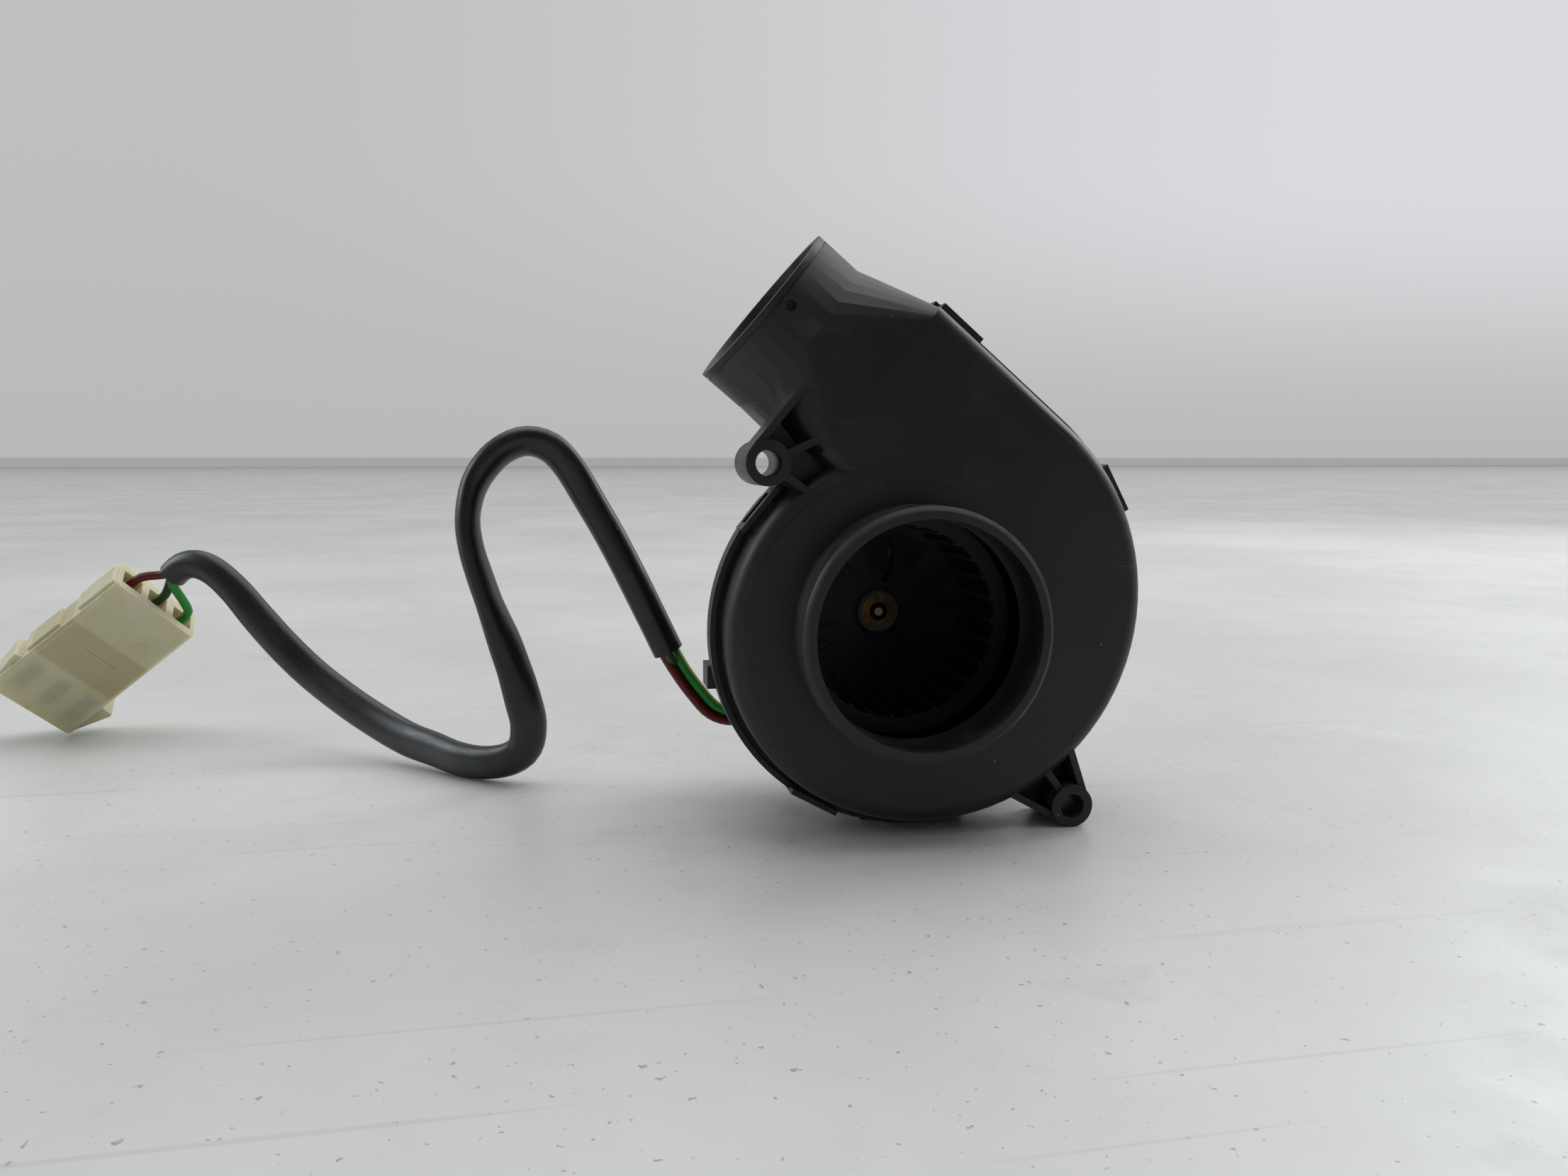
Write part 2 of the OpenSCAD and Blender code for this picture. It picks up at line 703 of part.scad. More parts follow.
module shaft() color("#c9ccd1") difference() {
    ring(shaft_d / 2, 0, shaft_front, shaft_end);
    ring(shaft_d, shaft_d / 2 - 0.2, clip_y, clip_y + clip_t);
}

module rotor_cup() color("#8d9096") difference() {
    ring(rotor_r, 0, cup_front, cup_end);
    ring(magnet_outer, 0, cup_front + rotor_wall, cup_end + over);
    ring(neck_r, 0, cup_front - over, cup_front + 2 * over);
}

module ring_magnet() color("#3a3432") ring(magnet_outer, magnet_inner, magnet_front, magnet_end);

module retaining_clip() color("#9a9da3") slab(clip_y, clip_y + clip_t) difference() {
    circle(neck_r);
    circle(shaft_d / 2 - 0.2);
    translate([0, -0.6]) square([2 * neck_r, 1.2]);
}

// ---------- bearings and stator ----------

module bearing_tube() color("#b79a5b") difference() {
    ring(bearing_tube_d / 2, 0, front_bearing_y - 0.2, tube_end);
    ring(bearing_d / 2, 0, front_bearing_y - over, tube_end - 0.6);
}

module sleeve_bearing(front) {
    ring(bearing_d / 2, shaft_d / 2 + run_gap, front, front + bearing_l);
}

module front_bearing() color("#8f6f45") sleeve_bearing(front_bearing_y);

module rear_bearing() color("#8f6f45") sleeve_bearing(rear_bearing_y);

module thrust_washers() color("#e6e2d6") for (y = [front_bearing_y, clip_y])
    ring(bearing_d / 2 - 0.2, shaft_d / 2 + 0.1, y - washer_t - touch, y - touch);

module core_outline(trim) {
    difference() {
        union() {
            circle(bearing_tube_d / 2 + 1.8 - trim);
            for (i = [0 : pole_count - 1]) rotate(i * 360 / pole_count)
                translate([0, -tooth_w / 2]) square([stator_r - 1, tooth_w]);
            difference() {
                circle(stator_r - trim);
                circle(stator_r - 1.2);
                for (i = [0 : pole_count - 1]) rotate((i + 0.5) * 360 / pole_count)
                    translate([0, -0.9]) square([2 * stator_r, 1.8]);
            }
        }
        circle(bearing_tube_d / 2);
    }
}

module stator_core() color("#7d8087") slab(stack_front, stack_end) core_outline(0);

module stator_insulators() color("#d9d4c3") {
    slab(stack_front - insulator_t, stack_front) core_outline(0.3);
    slab(stack_end, stack_end + insulator_t) core_outline(0.3);
}

module stator_windings() color("#b4652b") {
    coil_in = bearing_tube_d / 2 + 2;
    coil_out = stator_r - 1.4;
    coil_side = 1.1;
    front = stack_front - insulator_t;
    back = stack_end + insulator_t;
    for (i = [0 : pole_count - 1]) rotate([0, i * 360 / pole_count, 0]) difference() {
        translate([coil_in, front - coil_reach, -tooth_w / 2 - coil_side])
            cube([coil_out - coil_in, back - front + 2 * coil_reach, tooth_w + 2 * coil_side]);
        translate([coil_in - over, front, -tooth_w / 2])
            cube([coil_out - coil_in + 2 * over, back - front, tooth_w]);
    }
}

// ---------- circuit board ----------

module circuit_board() color("#2e5b3c") difference() {
    ring(board_r, bearing_tube_d / 2 + 2.2, board_front, board_end);
    slab(board_front - over, board_end + over)
        for (a = [60, 180, 300]) rotate(a) translate([board_r, 0]) circle(1);
}

// A part on the board: its direction, radius, size, and the depth of its front
module board_part(angle, r, size, front) {
    rotate([0, -angle, 0]) translate([r - size.x / 2, front, -size.z / 2]) cube(size);
}

module hall_sensor() color("#1d1d1f")
    board_part(100, (magnet_outer + magnet_inner) / 2, [1.6, 0.9, 3], board_front - 0.9);

module driver_chip() color("#1d1d1f") board_part(20, 10.8, [4, 1.5, 5], board_end);

module capacitor() color("#b98a4a") board_part(160, 10.8, [2.4, 1.4, 3.2], board_end);

// ---------- lead ----------

module cable_grommet() color("#232427") {
    exit_block(8.4, wire_d / 2 + 0.5, grommet_inner, base_r + touch);
    exit_block(10, wire_d / 2 + 1.2, base_r + touch, base_r + 1.2);
    exit_block(7.6, wire_d / 2 + 0.3, base_r + 1.2, grommet_outer);
}

function unit(v) = v / norm(v);

// The direction of a path at one of its points
function heading(path, i) = unit(
    path[min(i + 1, len(path) - 1)] - path[max(i - 1, 0)]
);

// A tube along a path: its half width and half thickness, with 8 sides
module tube(path, half_w, half_t) {
    sides = 8;
    count = len(path);
    ring_points = [
        for (i = [0 : count - 1])
            let (
                ahead = heading(path, i),
                across = unit(cross(ahead, [0.05, 1, 0.1])),
                up = cross(across, ahead)
            )
            for (k = [0 : sides - 1])
                path[i] + half_w * cos(k * 360 / sides) * across
                    + half_t * sin(k * 360 / sides) * up
    ];
    walls = [
        for (i = [0 : count - 2]) for (k = [0 : sides - 1])
            let (a = i * sides + k, b = i * sides + (k + 1) % sides)
            for (face = [[a, a + sides, b], [b, a + sides, b + sides]]) face
    ];
    start_cap = [for (k = [1 : sides - 2]) [0, k, k + 1]];
    last = (count - 1) * sides;
    end_cap = [for (k = [1 : sides - 2]) [last, last + k + 1, last + k]];
    polyhedron(points = ring_points, faces = concat(walls, start_cap, end_cap));
}

function plug_x(v) = [v.x, v.y * cos(plug_turn.x) - v.z * sin(plug_turn.x),
    v.y * sin(plug_turn.x) + v.z * cos(plug_turn.x)];
function plug_y(v) = [v.x * cos(plug_turn.y) + v.z * sin(plug_turn.y), v.y,
    -v.x * sin(plug_turn.y) + v.z * cos(plug_turn.y)];
function plug_z(v) = [v.x * cos(plug_turn.z) - v.y * sin(plug_turn.z),
    v.x * sin(plug_turn.z) + v.y * cos(plug_turn.z), v.z];
// A point of the connector's own frame, placed with the connector
function in_plug(v) = plug_pos + plug_z(plug_y(plug_x(v)));

// Where one wire lies in the bundle. side is -1, 0 or 1; spread is 0 where they lie flat, side by
// side, 1 where they close up and 2 where they lie in a triangle.
function in_bundle(side, spread, ahead) =
    let (
        across = unit(cross(ahead, [0.05, 1, 0.1])),
        up = cross(across, ahead),
        gaps = [wire_gap, 0.95 * wire_d, 0.53 * wire_d],
        drops = [0, 0.15 * wire_d, 0.31 * wire_d]
    )
    side == 0 ? 2 * drops[spread] * up : side * gaps[spread] * across - drops[spread] * up;

// One wire, in its three bare stretches: inside the base, up to the sleeve, and to the connector
module wire(side) {
    r = wire_d / 2;
    n = len(sleeve_path);
    exit_from = exit_dir * grommet_outer + [0, wire_y, 0];
    near = [
        exit_from, exit_from + 2.4 * exit_dir, [-21.4, 46.6, -19.8], [-25.4, 47, -22],
        [-29.4, 47.2, -20.8], [-32.8, 47.5, -17], [-35.6, 48, -13],
        sleeve_path[0] - 2 * touch * unit(sleeve_path[1] - sleeve_path[0])
    ];
    spreads = [0, 0, 0, 0, 1, 1, 2, 2];
    inner = [0, wire_y, 0] + side * wire_gap * exit_side;
    hole = [0, plug_t / 2, -plug_w / 2 - side * contact_pitch];
    last = sleeve_path[n - 1];
    end_dir = unit(last - sleeve_path[n - 2]);
    leaving = in_bundle(side, 2, end_dir);
    tube([inner + (rotor_r + 0.9) * exit_dir, inner + grommet_inner * exit_dir], r, r);
    tube([
        for (i = [0 : len(near) - 1])
            let (ahead = i < 2 ? exit_dir : i > 5 ? unit(sleeve_path[1] - sleeve_path[0]) :
                heading(near, i))
                near[i] + in_bundle(side, spreads[i], ahead)
    ], r, r);
    tube([
        last + 2 * touch * end_dir + leaving, last + 1.6 * end_dir + 1.1 * leaving,
        in_plug(hole + [3.6, 0, 0.4 * side]), in_plug(hole + [1.6, 0, 0]),
        in_plug(hole - [1.45, 0, 0])
    ], r, r);
}

module wire_brown() color("#6b2f22") wire(-1);

module wire_green() color("#1f4a26") wire(0);

module wire_green_yellow() color("#2f9a3f") wire(1);

module cable_sleeve() color("#1f2023") tube(sleeve_path, sleeve_w / 2, sleeve_t / 2);

// ---------- connector ----------

module in_connector() translate(plug_pos) rotate(plug_turn) children();

// The connector's own frame: +X towards the wires, Y its thickness, -Z its width
module plug_box(from, to) {
    translate(from) cube(to - from);
}

// A wedge on one side of the connector, rising from the mating end. y runs outwards.
module catch_wedge(height) {
    translate([0, plug_t - 1.5, 0]) rotate([90, 0, 0]) linear_extrude(height = plug_t - 3) polygon([
        [-plug_l + 0.6, -0.5], [-plug_l + 0.6, 0], [hood_l - plug_l - 1.2, height],
        [hood_l - plug_l - 0.3, height], [hood_l - plug_l, 0], [hood_l - plug_l, -0.5]
    ]);
}

module connector_housing() color("#d8d4b8") in_connector() difference() {
    bevel = 0.9;
    cavity = contact_pitch - 1.9;
    union() {
        translate([-plug_l, 0, 0]) rotate([90, 0, 90]) linear_extrude(height = plug_l) polygon([
            [bevel, 0], [0, -bevel], [0, bevel - plug_w], [bevel, -plug_w],
            [plug_t - bevel, -plug_w], [plug_t, bevel - plug_w], [plug_t, -bevel],
            [plug_t - bevel, 0]
        ]);
        catch_wedge(hood_step * 0.7);
        translate([0, 0, -plug_w]) mirror([0, 0, 1]) catch_wedge(hood_step * 1.5);
        plug_box([-11, 1.6, -0.5], [-0.6, plug_t - 1.6, 0.8]);
        plug_box([-26, 1.6, -0.5], [-16.5, plug_t - 1.6, 0.8]);
        plug_box([-14, plug_t - 0.5, -plug_w / 2 - 3], [-5, plug_t + 1.2, 3 - plug_w / 2]);
    }
    for (i = [-1 : 1]) translate([0, plug_t / 2, -plug_w / 2 - i * contact_pitch]) {
        plug_box([-plug_l + 3, -cavity / 2, -cavity / 2], [over, cavity / 2, cavity / 2]);
        plug_box([-plug_l - over, -1.7, -1.7], [-plug_l + 4, 1.7, 1.7]);
    }
    plug_box([-17.4, -over, -15], [-16.8, 0.35, -6]);
}

module connector_contacts() color("#c8a24a") in_connector()
    for (i = [-1 : 1]) translate([0, plug_t / 2, -plug_w / 2 - i * contact_pitch]) {
        plug_box([-25, -2, -2], [-8, 2, 2]);
        plug_box([-plug_l + 3.5, -0.4, -1.4], [-24, 0.4, 1.4]);
        translate([-8.5, 0, 0]) rotate([0, 90, 0]) cylinder(d = wire_d + 0.8, h = 7);
    }

front_cover();
rear_shell();
motor_base();
motor_screws();
impeller();
hub_bush();
shaft();
rotor_cup();
ring_magnet();
retaining_clip();
bearing_tube();
front_bearing();
rear_bearing();
thrust_washers();
stator_core();
stator_insulators();
stator_windings();
circuit_board();
hall_sensor();
driver_chip();
capacitor();
cable_grommet();
wire_brown();
wire_green();
wire_green_yellow();
cable_sleeve();
connector_housing();
connector_contacts();
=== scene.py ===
"""DC blower fan, dressed and lit: scroll housing, impeller and motor, with a sleeved lead
that ends in a connector."""
import math

import bmesh
import bpy
from mathutils import Matrix, Vector


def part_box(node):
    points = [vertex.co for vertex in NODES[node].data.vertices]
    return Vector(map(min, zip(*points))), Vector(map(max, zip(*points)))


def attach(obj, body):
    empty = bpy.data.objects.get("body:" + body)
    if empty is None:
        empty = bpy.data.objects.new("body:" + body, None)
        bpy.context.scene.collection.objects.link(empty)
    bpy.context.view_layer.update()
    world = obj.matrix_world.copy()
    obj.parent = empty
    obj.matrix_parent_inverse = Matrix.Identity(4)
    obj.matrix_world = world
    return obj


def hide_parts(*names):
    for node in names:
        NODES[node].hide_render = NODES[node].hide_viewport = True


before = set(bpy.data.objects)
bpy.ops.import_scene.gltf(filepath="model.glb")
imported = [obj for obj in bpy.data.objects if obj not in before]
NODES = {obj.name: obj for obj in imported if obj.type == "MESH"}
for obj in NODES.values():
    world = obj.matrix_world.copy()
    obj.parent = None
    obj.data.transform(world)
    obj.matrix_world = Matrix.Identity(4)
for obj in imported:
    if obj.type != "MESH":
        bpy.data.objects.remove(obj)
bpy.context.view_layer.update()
MM = 0.001


# ---------- sizes of the lead ----------

def turn_about(axis, degrees):
    return Matrix.Rotation(math.radians(degrees), 3, axis)


WIRE_R = 1.0 * MM
WIRE_STEP, WIRE_SIDES = 1.4 * MM, 14
SLEEVE_WALL = 0.35 * MM
SLEEVE_STEP, SLEEVE_SIDES = 1.3 * MM, 28

# From the grommet to the sleeve the wires draw together in three stages: how far the outer
# two lie beside the bundle's middle, and how far they drop, while the third rises.
BUNDLE_GAPS = (2.2 * MM, 1.9 * MM, 1.06 * MM)
BUNDLE_DROPS = (0, 0.3 * MM, 0.62 * MM)

# Inside the sleeve: from the third wire's centre to an outer one's, the room an outer wire
# needs at the side, the widest it lies, and the share of the run in which the bundle turns.
PACKED_STEP, SIDE_ROOM, WIDEST_GAP, TURN_SHARE = 2.05 * MM, 1.54 * MM, 2.02 * MM, 0.13

# The wires leave the grommet at this angle round the fan's axis, radius and depth.
EXIT_ANGLE, EXIT_R, EXIT_Y = math.radians(222), 21.5 * MM, 46.7 * MM
EXIT_DIR = Vector((math.cos(EXIT_ANGLE), 0, math.sin(EXIT_ANGLE)))
EXIT_POINT = EXIT_DIR * EXIT_R + Vector((0, EXIT_Y, 0))

# The connector's thickness, width and contact pitch, and how it lies on the table.
PLUG_T, PLUG_W, PITCH = 10 * MM, 20.6 * MM, 6.7 * MM
PLUG_TURN = turn_about("Z", -9) @ turn_about("Y", -37.7) @ turn_about("X", 31)
PLUG_PLACE = Vector((-154.9, 101.5, 1)) * MM


# ---------- camera ----------

CAMERA_PLACE = (-0.0581, -0.1715, 0.0286)
CAMERA_AHEAD = (0.192, 0.975, -0.114)
SENSOR_WIDTH, FOCAL_LENGTH = 36.0, 25.99


def place_camera():
    data = bpy.data.cameras.new("camera")
    data.sensor_width = SENSOR_WIDTH
    data.lens = FOCAL_LENGTH
    data.clip_start = 0.01
    data.clip_end = 20.0
    camera = bpy.data.objects.new("camera", data)
    bpy.context.scene.collection.objects.link(camera)
    camera.location = CAMERA_PLACE
    forward = Vector(CAMERA_AHEAD).normalized()
    camera.rotation_euler = forward.to_track_quat("-Z", "Y").to_euler()
    bpy.context.scene.camera = camera


place_camera()


# ---------- meshes ----------

def add_object(name, mesh, material=None):
    piece = bpy.data.objects.new(name, mesh)
    bpy.context.scene.collection.objects.link(piece)
    if material:
        piece.data.materials.clear()
        piece.data.materials.append(material)
    return piece


def mesh_from(name, verts, faces):
    mesh = bpy.data.meshes.new(name)
    mesh.from_pydata([tuple(v) for v in verts], [], faces)
    mesh.update()
    return mesh


def ring_faces(rings, sides):
    """Faces that join each ring of points to the next."""
    faces = []
    for i in range(rings - 1):
        for k in range(sides):
            a, b = i * sides + k, i * sides + (k + 1) % sides
            faces.append((a, b, b + sides, a + sides))
    return faces


def smooth_by_angle(mesh, degrees):
    """Smooth shading with sharp edges where the surface turns by more than the given angle."""
    shape = bmesh.new()
    shape.from_mesh(mesh)
    limit = math.radians(degrees)
    for face in shape.faces:
        face.smooth = True
    for edge in shape.edges:
        if len(edge.link_faces) == 2:
            edge.smooth = edge.calc_face_angle(0.0) < limit
        else:
            edge.smooth = False
    shape.to_mesh(mesh)
    shape.free()


def finish_modifiers(piece):
    """Turns what the modifiers make into the piece's own mesh."""
    graph = bpy.context.evaluated_depsgraph_get()
    mesh = bpy.data.meshes.new_from_object(piece.evaluated_get(graph),
                                           preserve_all_data_layers=True, depsgraph=graph)
    piece.modifiers.clear()
    old = piece.data
    piece.data = mesh
    if old.users == 0:
        bpy.data.meshes.remove(old)


# Corners closer than the weld become one, and faces that turn by less than the flat angle join.
WELD, SLIVER, FLAT_ANGLE = 2e-6, 1e-6, math.radians(0.6)


def copy_of_node(node, name):
    """A welded copy of a node's solid, with its flat faces joined."""
    mesh = NODES[node].data.copy()
    mesh.name = name
    shape = bmesh.new()
    shape.from_mesh(mesh)
    bmesh.ops.remove_doubles(shape, verts=shape.verts, dist=WELD)
    bmesh.ops.dissolve_degenerate(shape, dist=SLIVER, edges=shape.edges)
    bmesh.ops.dissolve_limit(shape, angle_limit=FLAT_ANGLE, verts=shape.verts,
                             edges=shape.edges)
    shape.to_mesh(mesh)
    shape.free()
    return mesh


def even_normals(piece, mode, degrees=38):
    """Smooth shading in which the large flat faces stay flat. By corner angle, the edges
    look softer."""
    smooth_by_angle(piece.data, degrees)
    even = piece.modifiers.new("even", "WEIGHTED_NORMAL")
    even.mode = mode
    even.weight = 80
    even.keep_sharp = True
    finish_modifiers(piece)


def dress_node(node, material):
    """Gives a node that is shown as it is the material of its finish."""
    for slot in NODES[node].material_slots:
        slot.material = material


def stand_for(piece, node, body):
    """The piece rides on a body in place of a node, which it hides."""
    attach(piece, body)
    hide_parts(node)
    return piece


def round_edges(node, name, material, body, width, angle=32, segments=2, shape_more=None,
                normals_by="FACE_AREA_WITH_ANGLE"):
    """A moulded piece: the node's solid with its edges rounded, in place of the node.
    The faces of the rounded edges are marked, so that the material can lighten them, as wear and
    as painted sheen."""
    piece = add_object(name, copy_of_node(node, name), material)
    if shape_more:
        shape_more(piece)
    piece.data.materials.append(material)
    bevel = piece.modifiers.new("round", "BEVEL")
    bevel.width = width
    bevel.segments = segments
    bevel.limit_method = "ANGLE"
    bevel.angle_limit = math.radians(angle)
    bevel.use_clamp_overlap = True
    bevel.material = 1
    finish_modifiers(piece)
    mesh = piece.data
    edge = mesh.attributes.new("edge", "FLOAT", "FACE")
    for face in mesh.polygons:
        edge.data[face.index].value = float(face.material_index)
        face.material_index = 0
    mesh.materials.pop(index=1)
    even_normals(piece, normals_by)
    return stand_for(piece, node, body)


# ---------- shader groups ----------

def new_group(name, inputs, outputs):
    group = bpy.data.node_groups.new(name, "ShaderNodeTree")
    for label, kind, value in inputs:
        socket = group.interface.new_socket(label, in_out="INPUT", socket_type=kind)
        if value is not None:
            socket.default_value = value
    for label, kind in outputs:
        group.interface.new_socket(label, in_out="OUTPUT", socket_type=kind)
    return group


class Wiring:
    """Short names for adding and joining nodes in one tree."""

    def __init__(self, tree):
        self.tree = tree

    def node(self, kind, **values):
        made = self.tree.nodes.new(kind)
        for key, value in values.items():
            setattr(made, key, value)
        return made

    def join(self, source, target):
        self.tree.links.new(source, target)

    def maths(self, operation, a, b=None, c=None, clamp=False):
        made = self.node("ShaderNodeMath", operation=operation, use_clamp=clamp)
        for socket, value in zip(made.inputs, (a, b, c)):
            if value is None:
                continue
            if isinstance(value, (int, float)):
                socket.default_value = value
            else:
                self.join(value, socket)
        return made.outputs[0]

    def noise(self, where, scale, detail=3.0, roughness=0.55, distortion=0.0):
        made = self.node("ShaderNodeTexNoise")
        made.inputs["Scale"].default_value = scale
        made.inputs["Detail"].default_value = detail
        made.inputs["Roughness"].default_value = roughness
        made.inputs["Distortion"].default_value = distortion
        self.join(where, made.inputs["Vector"])
        return made.outputs["Fac"]

    def band(self, value, low, high, to_low=0.0, to_high=1.0):
        made = self.node("ShaderNodeMapRange", clamp=True)
        made.interpolation_type = "SMOOTHSTEP"
        self.join(value, made.inputs["Value"])
        made.inputs["From Min"].default_value = low
        made.inputs["From Max"].default_value = high
        made.inputs["To Min"].default_value = to_low
        made.inputs["To Max"].default_value = to_high
        return made.outputs["Result"]

    def blend(self, share, a, b, mode="MIX"):
        made = self.node("ShaderNodeMix", data_type="RGBA", blend_type=mode)
        for socket, value in ((made.inputs[0], share), (made.inputs[6], a), (made.inputs[7], b)):
            if isinstance(value, (int, float)):
                socket.default_value = value
            elif isinstance(value, tuple):
                socket.default_value = (*value[:3], 1.0)
            else:
                self.join(value, socket)
        return made.outputs[2]


def moulding_grain_group():
    """Fine spark-eroded grain, as moulded plastic has: a height, and a mask of shallow scuffs."""
    group = new_group("moulding grain", [
        ("Vector", "NodeSocketVector", None),
        ("Grain Size", "NodeSocketFloat", 1.0),
        ("Scuffs", "NodeSocketFloat", 0.5),
    ], [("Height", "NodeSocketFloat"), ("Scuff", "NodeSocketFloat"), ("Cloud", "NodeSocketFloat")])
    w = Wiring(group)
    inside, outside = w.node("NodeGroupInput"), w.node("NodeGroupOutput")
    where = inside.outputs["Vector"]
    sized = w.node("ShaderNodeVectorMath", operation="SCALE")
    w.join(where, sized.inputs[0])
    w.join(w.maths("DIVIDE", 1.0, inside.outputs["Grain Size"]), sized.inputs["Scale"])
    fine = w.noise(sized.outputs[0], 5200.0, 2.0, 0.6)
    coarse = w.noise(sized.outputs[0], 1500.0, 3.0, 0.6)
    w.join(w.maths("ADD", w.maths("MULTIPLY", fine, 0.6), w.maths("MULTIPLY", coarse, 0.4)),
           outside.inputs["Height"])
    scratch_space = w.node("ShaderNodeMapping")
    w.join(where, scratch_space.inputs["Vector"])
    scratch_space.inputs["Rotation"].default_value = (0.2, 0.7, 0.4)
    scratch_space.inputs["Scale"].default_value = (60.0, 500.0, 900.0)
    lines = w.noise(scratch_space.outputs[0], 1.0, 2.0, 0.5, 0.4)
    patches = w.noise(where, 90.0, 3.0, 0.6)
    scuff = w.maths("MULTIPLY", w.band(lines, 0.66, 0.76), w.band(patches, 0.5, 0.66))
    w.join(w.maths("MULTIPLY", scuff, inside.outputs["Scuffs"]), outside.inputs["Scuff"])
    w.join(w.noise(where, 38.0, 4.0, 0.6, 0.3), outside.inputs["Cloud"])
    return group


def dust_group():
    """Pale specks and a thin film of dust on upward faces."""
    group = new_group("dust", [
        ("Vector", "NodeSocketVector", None),
        ("Amount", "NodeSocketFloat", 0.5),
    ], [("Specks", "NodeSocketFloat"), ("Film", "NodeSocketFloat")])
    w = Wiring(group)
    inside, outside = w.node("NodeGroupInput"), w.node("NodeGroupOutput")
    cells = w.node("ShaderNodeTexVoronoi")
    cells.inputs["Scale"].default_value = 420.0
    w.join(inside.outputs["Vector"], cells.inputs["Vector"])
    split = w.node("ShaderNodeSeparateColor")
    w.join(cells.outputs["Color"], split.inputs[0])
    chosen = w.band(split.outputs[0], 0.955, 0.965)
    dot = w.band(cells.outputs["Distance"], 0.1, 0.02)
    w.join(w.maths("MULTIPLY", w.maths("MULTIPLY", chosen, dot), inside.outputs["Amount"]),
           outside.inputs["Specks"])
    facing = w.node("ShaderNodeNewGeometry")
    parts = w.node("ShaderNodeSeparateXYZ")
    w.join(facing.outputs["Normal"], parts.inputs[0])
    cloud = w.noise(inside.outputs["Vector"], 150.0, 5.0, 0.65)
    film = w.maths("MULTIPLY", w.band(parts.outputs["Z"], 0.1, 1.0), w.band(cloud, 0.4, 0.75))
    w.join(w.maths("MULTIPLY", film, inside.outputs["Amount"]), outside.inputs["Film"])
    return group


GRAIN = moulding_grain_group()
DUST = dust_group()


def new_material(name):
    material = bpy.data.materials.new(name)
    material.use_nodes = True
    tree = material.node_tree
    tree.nodes.clear()
    w = Wiring(tree)
    shader = w.node("ShaderNodeBsdfPrincipled")
    output = w.node("ShaderNodeOutputMaterial")
    w.join(shader.outputs[0], output.inputs["Surface"])
    place = w.node("ShaderNodeTexCoord").outputs["Object"]
    return material, w, shader, place


def add_bump(w, shader, height, strength, distance):
    bump = w.node("ShaderNodeBump")
    bump.inputs["Strength"].default_value = strength
    bump.inputs["Distance"].default_value = distance
    w.join(height, bump.inputs["Height"])
    w.join(bump.outputs[0], shader.inputs["Normal"])


def add_grain(w, place, size, scuffs):
    grain = w.node("ShaderNodeGroup")
    grain.node_tree = GRAIN
    w.join(place, grain.inputs["Vector"])
    grain.inputs["Grain Size"].default_value = size
    grain.inputs["Scuffs"].default_value = scuffs
    return grain


def shade_of(colour, times, plus=0.0):
    return tuple(min(1.0, c * times + plus) for c in colour)


def edge_mark(w):
    """The mark that round_edges leaves on the faces of the rounded edges."""
    mark = w.node("ShaderNodeAttribute", attribute_name="edge", attribute_type="GEOMETRY")
    return mark.outputs["Fac"]


def add_dust(w, place, amount):
    dust = w.node("ShaderNodeGroup")
    dust.node_tree = DUST
    w.join(place, dust.inputs["Vector"])
    dust.inputs["Amount"].default_value = amount
    return dust


def moulded_plastic(name, colour, rough, scuffs=0.6, dust_amount=0.5, grain=1.0, edge_wear_and_sheen=None,
                    stain=None):
    """Glass-filled nylon: dark, finely grained, cloudy, a little rubbed and dusty."""
    material, w, shader, place = new_material(name)
    texture = add_grain(w, place, grain, scuffs)
    dust = add_dust(w, place, dust_amount)
    tint = w.blend(w.band(texture.outputs["Cloud"], 0.35, 0.68), shade_of(colour, 0.8),
                   shade_of(colour, 1.28, 0.004))
    # The rounded edges turn lighter and bluish: partly rubbed wear, partly a painted sheen.
    if edge_wear_and_sheen:
        tint = w.blend(worn_and_sheen_edges(w, place), tint, edge_wear_and_sheen)
    if stain:
        where, radius, shade = stain
        tint = w.blend(stain_mask(w, place, where, radius), tint, shade)
    tint = w.blend(texture.outputs["Scuff"], tint, shade_of(colour, 2.2, 0.03))
    tint = w.blend(w.maths("MULTIPLY", dust.outputs["Film"], 0.12), tint, (0.5, 0.5, 0.48))
    tint = w.blend(dust.outputs["Specks"], tint, (0.62, 0.6, 0.55))
    w.join(tint, shader.inputs["Base Color"])
    gloss = w.band(texture.outputs["Cloud"], 0.3, 0.7, rough - 0.06, rough + 0.07)
    gloss = w.maths("SUBTRACT", gloss, w.maths("MULTIPLY", texture.outputs["Scuff"], 0.12))
    gloss = w.maths("ADD", gloss, w.maths("MULTIPLY", dust.outputs["Film"], 0.2), clamp=True)
    w.join(gloss, shader.inputs["Roughness"])
    shader.inputs["Specular IOR Level"].default_value = 0.43
    shader.inputs["Sheen Weight"].default_value = 0.06
    shader.inputs["Sheen Roughness"].default_value = 0.35
    shader.inputs["Sheen Tint"].default_value = (0.85, 0.93, 1.0, 1)
    add_bump(w, shader, texture.outputs["Height"], 0.15, 0.00004)
    return material


def worn_and_sheen_edges(w, place):
    """A mask of the rounded edges, broken up, where handling has polished the moulding. The
    lighter, bluish colour laid through it is partly wear and partly a painted sheen of the edges'
    highlights.
    """
    edge = edge_mark(w)
    patchy = w.band(w.noise(place, 70.0, 2.0, 0.5), 0.3, 0.7, 0.35, 0.65)
    return w.maths("MULTIPLY", edge, patchy)


def stain_mask(w, place, where, radius):
    """A faint blotch round a point, with an uneven outline."""
    away = w.node("ShaderNodeVectorMath", operation="DISTANCE")
    w.join(place, away.inputs[0])
    away.inputs[1].default_value = where
    uneven = w.maths("SUBTRACT", w.noise(place, 85.0, 4.0, 0.6, 0.8), 0.5)
    edge = w.maths("ADD", away.outputs["Value"], w.maths("MULTIPLY", uneven, radius * 2.2))
    return w.band(edge, radius * 1.12, radius * 0.95, 0.0, 0.85)


